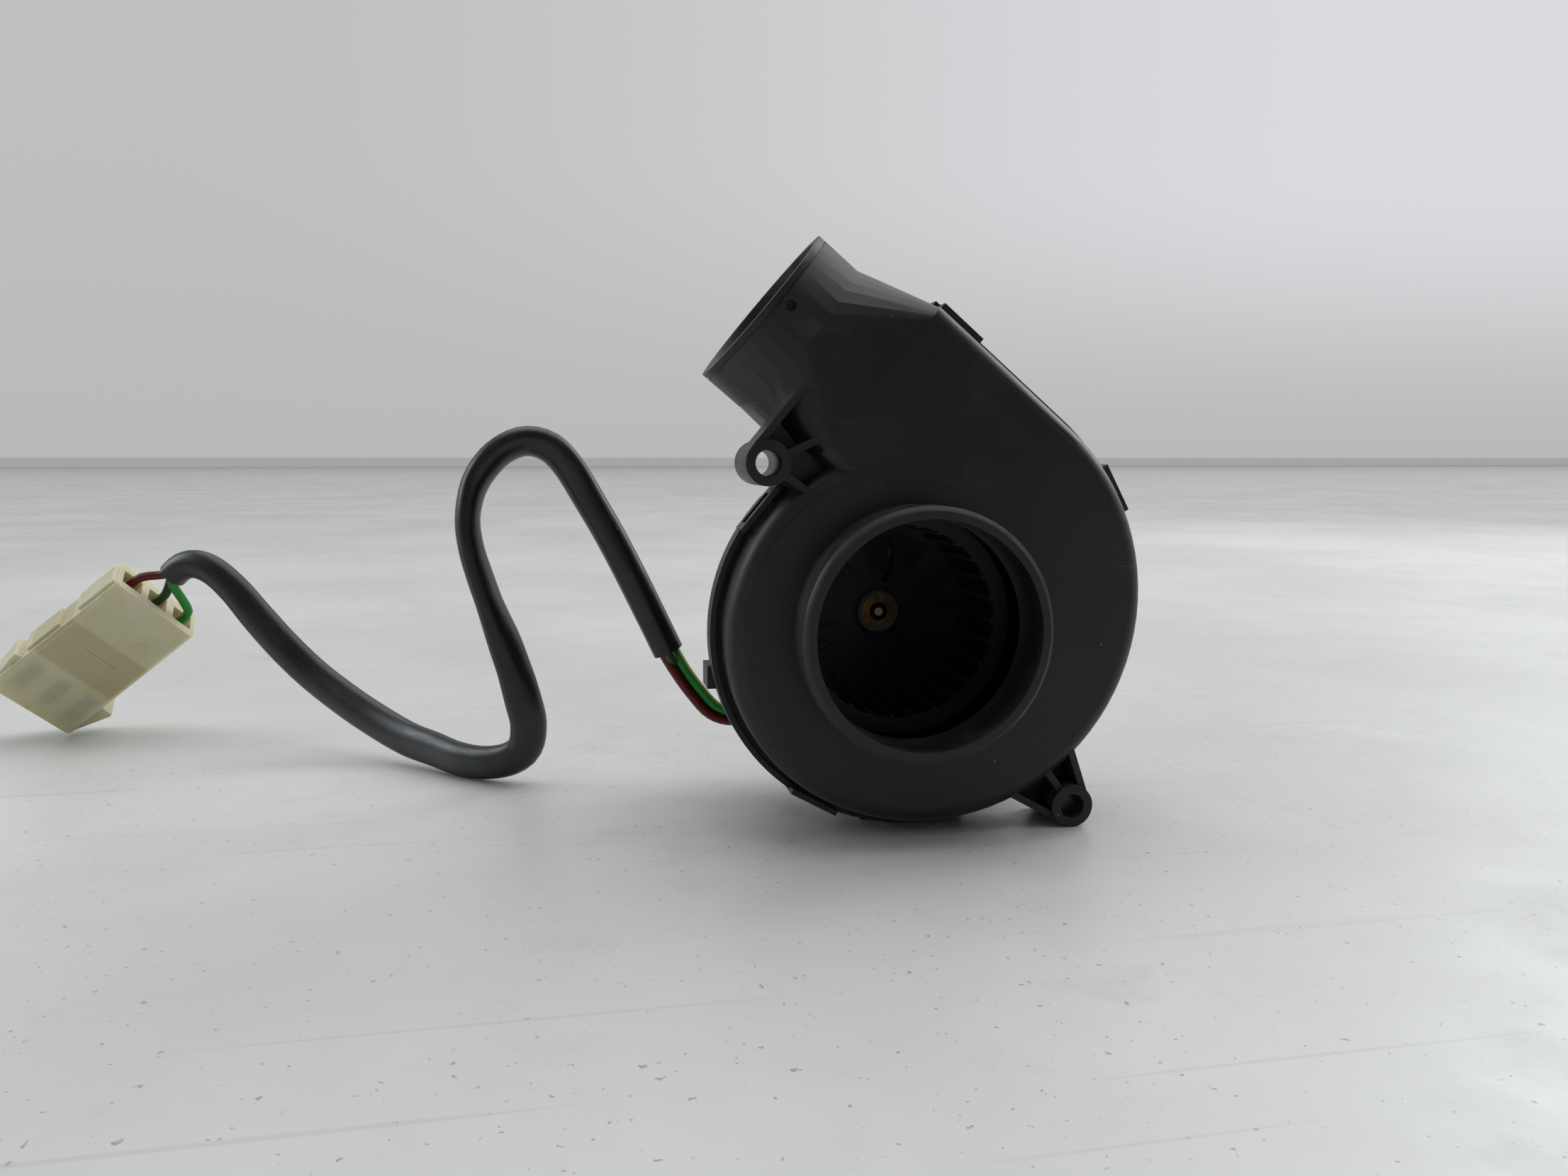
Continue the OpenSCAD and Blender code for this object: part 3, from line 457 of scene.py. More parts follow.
def turned_metal(name, colour, rough, spread=0.08, tarnish=None, streaks=0.0, painted_shade_ring=None):
    """Machined or drawn metal with fine turning marks and uneven tarnish. A ring of painted shade,
    near black round the shaft, lies round the fan's axis, between two radii."""
    material, w, shader, place = new_material(name)
    shader.inputs["Metallic"].default_value = 1.0
    cloud = w.noise(place, 260.0, 4.0, 0.6)
    tint = w.blend(w.band(cloud, 0.4, 0.7), colour, tarnish or shade_of(colour, 0.75))
    # Painted shade: a near-black ring round the shaft, where shade falls round its chamfer and
    # bore.
    if painted_shade_ring:
        flat = w.node("ShaderNodeVectorMath", operation="MULTIPLY")
        w.join(place, flat.inputs[0])
        flat.inputs[1].default_value = (1, 0, 1)
        away = w.node("ShaderNodeVectorMath", operation="LENGTH")
        w.join(flat.outputs[0], away.inputs[0])
        start, end = painted_shade_ring
        outer = w.band(away.outputs["Value"], end + 0.2 * MM, end)
        ring_shade = w.maths("MULTIPLY", outer, w.band(away.outputs["Value"], start - 0.15 * MM, start))
        tint = w.blend(ring_shade, tint, (0.004, 0.003, 0.002))
    w.join(tint, shader.inputs["Base Color"])
    w.join(w.band(cloud, 0.3, 0.75, rough - spread, rough + spread), shader.inputs["Roughness"])
    rings = w.node("ShaderNodeTexWave", wave_type="RINGS", rings_direction="Y")
    rings.inputs["Scale"].default_value = 900.0
    rings.inputs["Distortion"].default_value = 1.5
    w.join(place, rings.inputs["Vector"])
    add_bump(w, shader, rings.outputs["Fac"], 0.12 + streaks, 0.00002)
    return material


def soft_plastic(name, colour, rough, bump=0.1):
    """Smooth insulation, rubber or nylon with a faint unevenness."""
    material, w, shader, place = new_material(name)
    cloud = w.noise(place, 420.0, 3.0, 0.5)
    tint = w.blend(w.band(cloud, 0.35, 0.7), colour, shade_of(colour, 0.85))
    w.join(tint, shader.inputs["Base Color"])
    w.join(w.band(cloud, 0.3, 0.7, rough - 0.05, rough + 0.05), shader.inputs["Roughness"])
    add_bump(w, shader, w.noise(place, 1800.0, 2.0), bump, 0.00003)
    return material


# The stain on the cover, above the inlet: its middle, its radius and its colour.
COVER_STAIN = ((-0.003, 0.008, 0.036), 0.0135, (0.0082, 0.0036, 0.0042))

# The lighter, bluish edge colours given here are partly wear and partly painted sheen.
HOUSING = moulded_plastic("housing plastic", (0.0078, 0.0079, 0.0085), 0.47,
                          edge_wear_and_sheen=(0.035, 0.037, 0.042), stain=COVER_STAIN)
REAR = moulded_plastic("rear housing plastic", (0.0085, 0.0085, 0.009), 0.47,
                       edge_wear_and_sheen=(0.028, 0.03, 0.033))
BASE = moulded_plastic("motor base plastic", (0.0085, 0.0085, 0.009), 0.5, scuffs=0.4)
IMPELLER = moulded_plastic("impeller plastic", (0.005, 0.0048, 0.0045), 0.5, scuffs=0.1,
                           dust_amount=0.35)
# The rings given to the brass and the steel, in radii round the axis, are painted shade round the
# shaft.
BRASS = turned_metal("dull turned brass", (0.11, 0.064, 0.032), 0.6, tarnish=(0.06, 0.034, 0.016),
                     painted_shade_ring=(1.1 * MM, 1.6 * MM))
STEEL = turned_metal("ground steel", (0.12, 0.1, 0.08), 0.42, painted_shade_ring=(0.85 * MM, 3 * MM))
ZINC = turned_metal("zinc plated steel", (0.55, 0.56, 0.57), 0.34, streaks=0.05)
DRAWN = turned_metal("drawn steel", (0.13, 0.13, 0.135), 0.45)
SPRING = turned_metal("spring steel", (0.3, 0.3, 0.32), 0.35)
BRONZE = turned_metal("sintered bronze", (0.3, 0.2, 0.11), 0.55)
LAMINATIONS = turned_metal("stacked sheet", (0.33, 0.34, 0.37), 0.42, streaks=0.2)
TINNED = turned_metal("tinned contact", (0.55, 0.52, 0.42), 0.35)
COPPER = turned_metal("enamelled copper", (0.62, 0.27, 0.11), 0.28)
FERRITE = soft_plastic("bonded magnet", (0.055, 0.047, 0.045), 0.6, bump=0.3)
INSULATOR = soft_plastic("insulator nylon", (0.62, 0.58, 0.47), 0.45)
WASHER = soft_plastic("washer nylon", (0.7, 0.68, 0.6), 0.4)
EPOXY = soft_plastic("chip epoxy", (0.018, 0.018, 0.02), 0.5)
CERAMIC = soft_plastic("chip ceramic", (0.42, 0.29, 0.16), 0.4)
BOARD = soft_plastic("solder mask", (0.03, 0.13, 0.06), 0.3)
RUBBER = soft_plastic("grommet rubber", (0.012, 0.012, 0.013), 0.6, bump=0.3)


def wire_material(name, colour, stripe=None):
    """PVC insulation. The stripe runs along the wire, on one side of its own map."""
    material, w, shader, place = new_material(name)
    cloud = w.noise(place, 700.0, 3.0)
    tint = w.blend(w.band(cloud, 0.35, 0.7), colour, shade_of(colour, 0.8))
    if stripe:
        chart = w.node("ShaderNodeUVMap", uv_map="round")
        parts = w.node("ShaderNodeSeparateXYZ")
        w.join(chart.outputs[0], parts.inputs[0])
        off_centre = w.maths("ABSOLUTE", w.maths("SUBTRACT", parts.outputs["X"], 0.5))
        tint = w.blend(w.band(off_centre, 0.17, 0.15), tint, stripe)
    w.join(tint, shader.inputs["Base Color"])
    shader.inputs["Roughness"].default_value = 0.36
    shader.inputs["Specular IOR Level"].default_value = 0.35
    add_bump(w, shader, w.noise(place, 2500.0, 2.0), 0.08, 0.00003)
    return material


def sleeve_material():
    """Soft black PVC sleeve: satin, faintly scuffed, with dust in it."""
    material, w, shader, place = new_material("soft sleeve")
    chart = w.node("ShaderNodeUVMap", uv_map="round")
    stretch = w.node("ShaderNodeMapping")
    stretch.inputs["Scale"].default_value = (9.0, 0.7, 1.0)
    w.join(chart.outputs[0], stretch.inputs["Vector"])
    along = w.noise(stretch.outputs[0], 6.0, 4.0, 0.6)
    cloud = w.noise(place, 130.0, 4.0, 0.6)
    dust = add_dust(w, place, 0.7)
    tint = w.blend(w.band(cloud, 0.35, 0.7), (0.0042, 0.0044, 0.005), (0.0085, 0.0088, 0.0098))
    tint = w.blend(w.maths("MULTIPLY", dust.outputs["Film"], 0.03), tint, (0.4, 0.4, 0.4))
    tint = w.blend(dust.outputs["Specks"], tint, (0.5, 0.5, 0.48))
    w.join(tint, shader.inputs["Base Color"])
    shader.inputs["Specular IOR Level"].default_value = 0.5
    w.join(w.band(along, 0.35, 0.7, 0.27, 0.4), shader.inputs["Roughness"])
    add_bump(w, shader, along, 0.25, 0.00008)
    return material


def nylon_material():
    """Natural nylon, yellowed and slightly see-through. The solid middle is painted deeper in
    colour than the thin walls at both ends, as painted shade where less light comes through, and
    the contacts inside the mating end show as painted grey shadows."""
    material, w, shader, place = new_material("natural nylon")
    own = w.node("ShaderNodeMapping", vector_type="TEXTURE")
    own.inputs["Location"].default_value = PLUG_PLACE
    own.inputs["Rotation"].default_value = PLUG_TURN.to_euler("XYZ")
    w.join(place, own.inputs["Vector"])
    parts = w.node("ShaderNodeSeparateXYZ")
    w.join(own.outputs[0], parts.inputs[0])
    along, over = parts.outputs["X"], parts.outputs["Z"]
    cloud = w.noise(place, 110.0, 4.0, 0.6)
    tint = w.blend(w.band(cloud, 0.3, 0.7), (0.72, 0.665, 0.42), (0.82, 0.77, 0.53))
    # Painted shade: the solid middle is darker and yellower, where less light comes through the
    # nylon.
    middle = w.maths("MULTIPLY", w.band(along, -25.0 * MM, -23.6 * MM),
                     w.band(along, -12.4 * MM, -13.6 * MM))
    tint = w.blend(w.maths("MULTIPLY", middle, 0.75), tint, (0.57, 0.51, 0.26))
    # Painted shadows: three grey stripes where the contacts darken the mating end from inside.
    for row in (-1, 0, 1):
        off = w.maths("ABSOLUTE", w.maths("ADD", over, PLUG_W / 2 + row * PITCH))
        shade = w.maths("MULTIPLY", w.band(off, 2.4 * MM, 1.0 * MM),
                        w.band(along, -25.0 * MM, -27.5 * MM))
        shade = w.maths("MULTIPLY", shade, w.band(along, -36.5 * MM, -32.0 * MM))
        tint = w.blend(w.maths("MULTIPLY", shade, 0.4), tint, (0.42, 0.41, 0.3))
    grime = w.band(w.noise(place, 800.0, 3.0, 0.7), 0.66, 0.76, 0.0, 0.4)
    tint = w.blend(grime, tint, (0.3, 0.28, 0.17))
    tint = w.blend(w.maths("MULTIPLY", edge_mark(w), 0.5), tint, (0.8, 0.79, 0.65))
    w.join(tint, shader.inputs["Base Color"])
    w.join(w.band(cloud, 0.3, 0.7, 0.26, 0.4), shader.inputs["Roughness"])
    shader.inputs["Transmission Weight"].default_value = 0.15
    shader.inputs["IOR"].default_value = 1.5
    shader.inputs["Subsurface Weight"].default_value = 0.35
    shader.inputs["Subsurface Radius"].default_value = (1.0, 0.9, 0.5)
    shader.inputs["Subsurface Scale"].default_value = 0.003
    add_bump(w, shader, w.noise(place, 900.0, 3.0), 0.1, 0.00004)
    return material


WIRE_BROWN = wire_material("red-brown insulation", (0.125, 0.009, 0.006))
WIRE_GREEN = wire_material("dark green insulation", (0.02, 0.05, 0.02), (0.03, 0.12, 0.03))
WIRE_STRIPED = wire_material("green insulation with a yellow stripe", (0.008, 0.26, 0.032),
                             (0.22, 0.2, 0.02))
SLEEVE = sleeve_material()
CUT_END = soft_plastic("cut end of the sleeve", (0.3, 0.3, 0.29), 0.6)
NYLON = nylon_material()


# ---------- the lead ----------

# The middle of the sleeve, in millimetres, from the fan to the connector.
SLEEVE_ROUTE = [Vector(p) * MM for p in [
    (-38, 48, -9), (-41.7, 48, -1), (-45.5, 48, 7), (-49, 48.5, 14), (-52.5, 49, 20.3),
    (-56.3, 49, 26.8), (-59.8, 49, 30.6), (-64, 49, 31.8), (-68, 48.5, 30.5), (-71.4, 48, 27.5),
    (-74, 48, 23.2), (-75.2, 47.5, 17.5), (-74.7, 47, 12), (-73.1, 47, 6), (-71.2, 47, 0),
    (-69.2, 47.5, -6), (-67.4, 48, -12), (-66, 49, -18), (-65.2, 51, -23), (-66, 53, -28),
    (-69, 54.5, -30.7), (-74, 57.5, -32.05), (-79.5, 62, -32.15), (-85, 68, -31.4),
    (-91, 74, -30.4), (-98, 80, -27.6), (-105, 85, -23.8), (-112.5, 90, -18.8),
    (-119, 93.5, -13), (-125, 97, -6.8), (-130, 99.5, -1), (-134.8, 101.8, 3.2),
    (-139, 103.8, 4.8), (-142.4, 105.4, 4.2), (-145, 106.8, 2.2)]]


def in_plug(x, y, z):
    """A point given in the connector's own directions."""
    return PLUG_PLACE + PLUG_TURN @ Vector((x, y, z))


def smooth_route(points, step):
    """Evenly spaced points on one smooth curve through the given ones."""
    out = []
    n = len(points)
    for i in range(n - 1):
        p0 = points[max(i - 1, 0)]
        p1, p2 = points[i], points[i + 1]
        p3 = points[min(i + 2, n - 1)]
        pieces = max(1, round((p2 - p1).length / step))
        for k in range(pieces):
            t = k / pieces
            out.append(0.5 * ((2 * p1) + (p2 - p0) * t + (2 * p0 - 5 * p1 + 4 * p2 - p3) * t * t
                              + (3 * p1 - p0 - 3 * p2 + p3) * t ** 3))
    out.append(points[-1].copy())
    return out


def headings(points):
    n = len(points)
    return [(points[min(i + 1, n - 1)] - points[max(i - 1, 0)]).normalized() for i in range(n)]


def distances(points):
    """How far along the run each point is."""
    run = [0.0]
    for a, b in zip(points, points[1:]):
        run.append(run[-1] + (b - a).length)
    return run


NEVER_AHEAD = Vector((0.05, 1, 0.1))  # a direction that no stretch of the lead follows


def cross_frame(ahead):
    across = ahead.cross(NEVER_AHEAD).normalized()
    return across, across.cross(ahead)


def turned_frame(ahead, twist):
    """The directions across the run, turned about it."""
    across, up = cross_frame(ahead)
    return (math.cos(twist) * across + math.sin(twist) * up,
            math.cos(twist) * up - math.sin(twist) * across)


def tube_mesh(name, points, size, sides, closed=True):
    """A tube along the points. size(share) gives its two half widths and how far it is turned.
    Its map runs round it in X and along it in Y."""
    verts = []
    n = len(points)
    run = distances(points)
    for p, ahead, done in zip(points, headings(points), run):
        half_w, half_t, twist = size(done / run[-1])
        wide, thick = turned_frame(ahead, twist)
        for k in range(sides):
            turn = 2 * math.pi * k / sides
            verts.append(p + half_w * math.cos(turn) * wide + half_t * math.sin(turn) * thick)
    faces = ring_faces(n, sides)
    if closed:
        faces.append(tuple(range(sides - 1, -1, -1)))
        faces.append(tuple((n - 1) * sides + k for k in range(sides)))
    mesh = mesh_from(name, verts, faces)
    chart = mesh.uv_layers.new(name="round")
    girth = 2 * math.pi * size(0)[0]
    for face in mesh.polygons:
        ring_face = face.index < (n - 1) * sides
        for corner, loop in enumerate(face.loop_indices):
            v = mesh.loops[loop].vertex_index
            k = v % sides
            if ring_face and k == 0 and corner in (1, 2):
                k = sides
            chart.data[loop].uv = (k / sides, run[v // sides] / girth)
    return mesh


# How the soft sleeve lies along its run: share of its length, half width and half thickness
# in millimetres, and turn in degrees. It is round at its ends and pressed flat between them.
SLEEVE_LIE = [
    (0.00, 2.65, 2.55, 0), (0.13, 2.65, 2.5, 20), (0.19, 2.9, 2.2, 35), (0.25, 3.0, 2.1, 55),
    (0.31, 3.15, 1.9, 84), (0.37, 3.15, 1.85, 72), (0.43, 3.2, 1.85, 40), (0.48, 3.2, 1.85, 12),
    (0.54, 3.1, 1.95, 0), (0.66, 3.4, 1.9, -6), (0.86, 3.4, 1.9, 0), (0.95, 3.0, 2.2, 0),
    (1.00, 2.75, 2.4, 0)]


def sleeve_lie(share):
    for (s0, *low), (s1, *high) in zip(SLEEVE_LIE, SLEEVE_LIE[1:]):
        if share <= s1:
            t = (share - s0) / (s1 - s0)
            t = t * t * (3 - 2 * t)
            w, h, turn = (a + (b - a) * t for a, b in zip(low, high))
            return w * MM, h * MM, math.radians(turn)
    return SLEEVE_LIE[-1][1] * MM, SLEEVE_LIE[-1][2] * MM, 0.0


def in_bundle(side, stage, ahead):
    """A wire's place beside the others, between the grommet and the sleeve."""
    across, up = cross_frame(ahead)
    gap, drop = BUNDLE_GAPS[stage], BUNDLE_DROPS[stage]
    return 2 * drop * up if side == 0 else side * gap * across - drop * up


def in_sleeve(side, share, ahead):
    """A wire's place inside the sleeve: in a triangle where it is round, nearly in a row where
    it is flat. The bundle makes half a turn in the first, round stretch."""
    half_w, _, twist = sleeve_lie(share)
    gap = min(half_w - SIDE_ROOM, WIDEST_GAP)
    drop = math.sqrt(max(PACKED_STEP ** 2 - gap ** 2, 0)) / 3
    place_w, place_t = (0, 2 * drop) if side == 0 else (side * gap, -drop)
    wide, thick = turned_frame(ahead, twist + math.pi * (1 - min(share / TURN_SHARE, 1)))
    return place_w * wide + place_t * thick


def wire_points(side):
    """A wire's whole route: out of the grommet, through the sleeve and into the connector."""
    near = [EXIT_POINT, EXIT_POINT + 2.4 * MM * EXIT_DIR] + [Vector(p) * MM for p in [
        (-21.4, 46.6, -19.8), (-25.4, 47, -22), (-29.4, 47.2, -20.8), (-32.8, 47.5, -17),
        (-35.6, 48, -13)]]
    stages = [0, 0, 1, 2, 2, 2, 2]
    start_dir = (SLEEVE_ROUTE[1] - SLEEVE_ROUTE[0]).normalized()
    ways = [EXIT_DIR, EXIT_DIR, *headings(near + [SLEEVE_ROUTE[0]])[2:6], start_dir]
    points = [p + in_bundle(-side, stage, way) for p, stage, way in zip(near, stages, ways)]
    run = distances(SLEEVE_ROUTE)
    for p, way, done in zip(SLEEVE_ROUTE, headings(SLEEVE_ROUTE), run):
        points.append(p + in_sleeve(side, done / run[-1], way))
    last = SLEEVE_ROUTE[-1]
    end_dir = (last - SLEEVE_ROUTE[-2]).normalized()
    leaving = in_sleeve(side, 1.0, end_dir)
    y, z = PLUG_T / 2, -PLUG_W / 2 - side * PITCH
    points += [last + 1.4 * MM * end_dir + 1.1 * leaving,
               in_plug(2.2 * MM, y, z + 0.3 * MM * side), in_plug(-1.45 * MM, y, z)]
    return smooth_route(points, WIRE_STEP)


PALE_END_X = -0.1  # the sleeve's cut edge is pale beyond this, at the connector


def make_lead():
    wires = {}
    for side, node, material in ((-1, "wire_brown", WIRE_BROWN), (0, "wire_green", WIRE_GREEN),
                                 (1, "wire_green_yellow", WIRE_STRIPED)):
        points = wire_points(side)
        mesh = tube_mesh(node + "_run", points, lambda share: (WIRE_R, WIRE_R, 0.0), WIRE_SIDES)
        piece = add_object(node + "_run", mesh, material)
        smooth_by_angle(mesh, 50)
        wires[node] = (stand_for(piece, node, "housing"), points)
    mesh = tube_mesh("lead_sleeve", smooth_route(SLEEVE_ROUTE, SLEEVE_STEP), sleeve_lie,
                     SLEEVE_SIDES, closed=False)
    sleeve = add_object("lead_sleeve", mesh, SLEEVE)
    sleeve.data.materials.append(CUT_END)
    wall = sleeve.modifiers.new("wall", "SOLIDIFY")
    wall.thickness = SLEEVE_WALL
    wall.offset = -1.0
    wall.material_offset_rim = 1
    finish_modifiers(sleeve)
    for face in sleeve.data.polygons:
        if face.center.x > PALE_END_X:
            face.material_index = 0
    smooth_by_angle(sleeve.data, 40)
    return wires, stand_for(sleeve, "cable_sleeve", "housing")


WIRES, LEAD_SLEEVE = make_lead()


# ---------- connector ----------

def make_connector():
    shell = round_edges("connector_housing", "nylon_connector", NYLON, "housing", 0.25 * MM)
    dress_node("connector_contacts", TINNED)
    return shell


CONNECTOR = make_connector()


# ---------- repeated pieces ----------

def new_geometry_tree(name, inputs):
    """A geometry tree with the given named inputs, and its Wiring, input and output nodes."""
    tree = bpy.data.node_groups.new(name, "GeometryNodeTree")
    sockets = {}
    for label, kind, value in inputs:
        socket = tree.interface.new_socket(label, in_out="INPUT", socket_type=kind)
        if value is not None:
            socket.default_value = value
        sockets[label] = socket.identifier
    tree.interface.new_socket("Geometry", in_out="OUTPUT", socket_type="NodeSocketGeometry")
    w = Wiring(tree)
    return tree, w, w.node("NodeGroupInput"), w.node("NodeGroupOutput"), sockets


def finish_tree(w, geometry, inside, outside):
    """Gives the geometry the material of the tree's input, and sends it out."""
    finish = w.node("GeometryNodeSetMaterial")
    w.join(geometry, finish.inputs["Geometry"])
    w.join(inside.outputs["Material"], finish.inputs["Material"])
    w.join(finish.outputs[0], outside.inputs[0])


def ring_array_tree():
    """Repeats the geometry round the fan's axis, evenly, from a first angle."""
    tree, w, inside, outside, sockets = new_geometry_tree("round the axis", [
        ("Geometry", "NodeSocketGeometry", None), ("Count", "NodeSocketInt", 3),
        ("First Angle", "NodeSocketFloat", 0.0), ("Material", "NodeSocketMaterial", None)])
    points = w.node("GeometryNodeMeshLine", mode="OFFSET")
    w.join(inside.outputs["Count"], points.inputs["Count"])
    points.inputs["Offset"].default_value = (0, 0, 0)
    step = w.maths("DIVIDE", -2 * math.pi, inside.outputs["Count"])
    turn = w.maths("MULTIPLY", w.node("GeometryNodeInputIndex").outputs[0], step)
    turn = w.maths("SUBTRACT", turn, inside.outputs["First Angle"])
    lie = w.node("ShaderNodeCombineXYZ")
    w.join(turn, lie.inputs["Y"])
    place = w.node("GeometryNodeInstanceOnPoints")
    w.join(points.outputs[0], place.inputs["Points"])
    w.join(inside.outputs["Geometry"], place.inputs["Instance"])
    w.join(lie.outputs[0], place.inputs["Rotation"])
    real = w.node("GeometryNodeRealizeInstances")
    w.join(place.outputs[0], real.inputs[0])
    finish_tree(w, real.outputs[0], inside, outside)
    return tree, sockets


def coil_tree():
    """One coil: two layers of turns, wound along +X from a first radius."""
    tree, w, inside, outside, sockets = new_geometry_tree("wound coil", [
        ("Geometry", "NodeSocketGeometry", None), ("Turns", "NodeSocketInt", 7),
        ("Wire Radius", "NodeSocketFloat", 0.0002), ("Pitch", "NodeSocketFloat", 0.0005),
        ("Width", "NodeSocketFloat", 0.004), ("Length", "NodeSocketFloat", 0.008),
        ("First Radius", "NodeSocketFloat", 0.006), ("Middle", "NodeSocketFloat", 0.042),
        ("Material", "NodeSocketMaterial", None)])
    both = w.node("GeometryNodeJoinGeometry")
    profile = w.node("GeometryNodeCurvePrimitiveCircle")
    profile.inputs["Resolution"].default_value = 8
    w.join(inside.outputs["Wire Radius"], profile.inputs["Radius"])
    for layer in (0, 1):
        less = w.maths("MULTIPLY", inside.outputs["Wire Radius"], 2 + 4.1 * layer)
        frame_curve = w.node("GeometryNodeCurvePrimitiveQuadrilateral")
        w.join(w.maths("SUBTRACT", inside.outputs["Width"], less), frame_curve.inputs["Width"])
        w.join(w.maths("SUBTRACT", inside.outputs["Length"], less), frame_curve.inputs["Height"])
        corner = w.node("GeometryNodeFilletCurve", mode="POLY")
        corner.inputs["Count"].default_value = 4
        w.join(frame_curve.outputs[0], corner.inputs["Curve"])
        w.join(w.maths("MULTIPLY", inside.outputs["Wire Radius"], 3.5 - 2 * layer),
               corner.inputs["Radius"])
        wire = w.node("GeometryNodeCurveToMesh")
        w.join(corner.outputs[0], wire.inputs["Curve"])
        w.join(profile.outputs[0], wire.inputs["Profile Curve"])
        w.join(wire.outputs[0], both.inputs[0])
    row = w.node("GeometryNodeMeshLine", mode="OFFSET")
    w.join(inside.outputs["Turns"], row.inputs["Count"])
    step = w.node("ShaderNodeCombineXYZ")
    w.join(inside.outputs["Pitch"], step.inputs["Z"])
    w.join(step.outputs[0], row.inputs["Offset"])
    turns = w.node("GeometryNodeInstanceOnPoints")
    w.join(row.outputs[0], turns.inputs["Points"])
    w.join(both.outputs[0], turns.inputs["Instance"])
    real = w.node("GeometryNodeRealizeInstances")
    w.join(turns.outputs[0], real.inputs[0])
    seat = w.node("GeometryNodeTransform")
    w.join(real.outputs[0], seat.inputs["Geometry"])
    seat.inputs["Rotation"].default_value = (0, math.pi / 2, 0)
    at = w.node("ShaderNodeCombineXYZ")
    w.join(inside.outputs["First Radius"], at.inputs["X"])
    w.join(inside.outputs["Middle"], at.inputs["Y"])
    w.join(at.outputs[0], seat.inputs["Translation"])
    finish_tree(w, seat.outputs[0], inside, outside)
    return tree, sockets


def run_tree(piece, tree_and_sockets, **values):
    """Gives the piece what the geometry tree makes with the named values."""
    tree, sockets = tree_and_sockets
    maker = piece.modifiers.new(tree.name, "NODES")
    maker.node_group = tree
    for label, value in values.items():
        maker[sockets[label.replace("_", " ")]] = value
    finish_modifiers(piece)


def lathe(name, profile, sides):
    """A closed solid turned round +Y from (radius, height) points that start and end on it."""
    verts = []
    inner = profile[1:-1]
    for r, y in inner:
        for k in range(sides):
            turn = 2 * math.pi * k / sides
            verts.append((r * math.cos(turn), y, r * math.sin(turn)))
    faces = ring_faces(len(inner), sides)
    for tip, start, order in ((profile[0], 0, 1), (profile[-1], (len(inner) - 1) * sides, -1)):
        verts.append((0, tip[1], 0))
        for k in range(sides):
            ring_edge = (start + k, start + (k + 1) % sides)[::order]
            faces.append((len(verts) - 1, ring_edge[1], ring_edge[0]))
    return outward(mesh_from(name, verts, faces))


def outward(mesh):
    """Turns every face of a closed solid to face outwards."""
    shape = bmesh.new()
    shape.from_mesh(mesh)
    bmesh.ops.recalc_face_normals(shape, faces=shape.faces)
    shape.to_mesh(mesh)
    shape.free()
    return mesh


def carve(piece, tool_mesh, operation):
    """Adds a solid to the piece, or cuts it out, and throws the tool away."""
    tool = add_object("tool", outward(tool_mesh))
    cut = piece.modifiers.new("carve", "BOOLEAN")
    cut.operation = operation
    cut.solver = "EXACT"
    cut.object = tool
    finish_modifiers(piece)
    bpy.data.objects.remove(tool)


def prism(name, outline, low, high):
    """A solid between two heights on an (x, z) outline."""
    n = len(outline)
    verts = [(x, y, z) for y in (low, high) for x, z in outline]
    faces = [tuple(range(n)), tuple(range(2 * n - 1, n - 1, -1))]
    faces += [(k, (k + 1) % n, n + (k + 1) % n, n + k) for k in range(n)]
    return mesh_from(name, verts, faces)


ROUND_THE_AXIS = ring_array_tree()
WOUND_COIL = coil_tree()


def make_screws():
    """Three pan-head screws with a cross recess, holding the motor base."""
    head_height, head_r, length = 1.6 * MM, 2.2 * MM, 6.6 * MM
    thread_r, root_r, turns = 1.1 * MM, 0.86 * MM, 9
    thread_pitch = 0.62  # in millimetres
    arm, half_slot, recess_depth = 1.35 * MM, 0.24 * MM, 0.95 * MM
    circle_r = 23.5 * MM
    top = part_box("motor_screws")[1][1]
    head = top - head_height
    profile = [(0, head - length), (0.5 * MM, head - length)]
    for i in range(turns):
        y = head - 6.2 * MM + i * thread_pitch * MM
        profile += [(root_r, y - 0.2 * MM), (thread_r, y)]
    profile += [(thread_r, head), (2.05 * MM, head), (head_r, head + 0.15 * MM),
                (head_r, head + 0.75 * MM), (2.1 * MM, head + 1.05 * MM),
                (1.85 * MM, head + 1.35 * MM), (1.4 * MM, head + 1.52 * MM),
                (0.7 * MM, top), (0, top)]
    piece = add_object("base_screws", lathe("base_screws", profile, 28), ZINC)
    for x, z in ((arm, half_slot), (half_slot, arm)):
        carve(piece, prism("recess", [(-x, -z), (x, -z), (x, z), (-x, z)],
                           top - recess_depth, top + MM), "DIFFERENCE")
    for vert in piece.data.vertices:
        vert.co.x += circle_r
    run_tree(piece, ROUND_THE_AXIS, Count=3, First_Angle=math.radians(30), Material=ZINC)
    smooth_by_angle(piece.data, 35)
    return stand_for(piece, "motor_screws", "housing")


def make_windings():
    """Six coils of enamelled wire, one on each tooth of the stator."""
    low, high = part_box("stator_windings")
    wire = 0.245 * MM
    piece = add_object("wound_coils", mesh_from("wound_coils", [], []), COPPER)
    run_tree(piece, WOUND_COIL, Turns=7, Wire_Radius=wire, Pitch=0.53 * MM, Width=4.4 * MM,
             Length=high[1] - low[1], First_Radius=6.25 * MM, Middle=(low[1] + high[1]) / 2,
             Material=COPPER)
    run_tree(piece, ROUND_THE_AXIS, Count=6, First_Angle=0.0, Material=COPPER)
    smooth_by_angle(piece.data, 60)
    return stand_for(piece, "stator_windings", "housing")


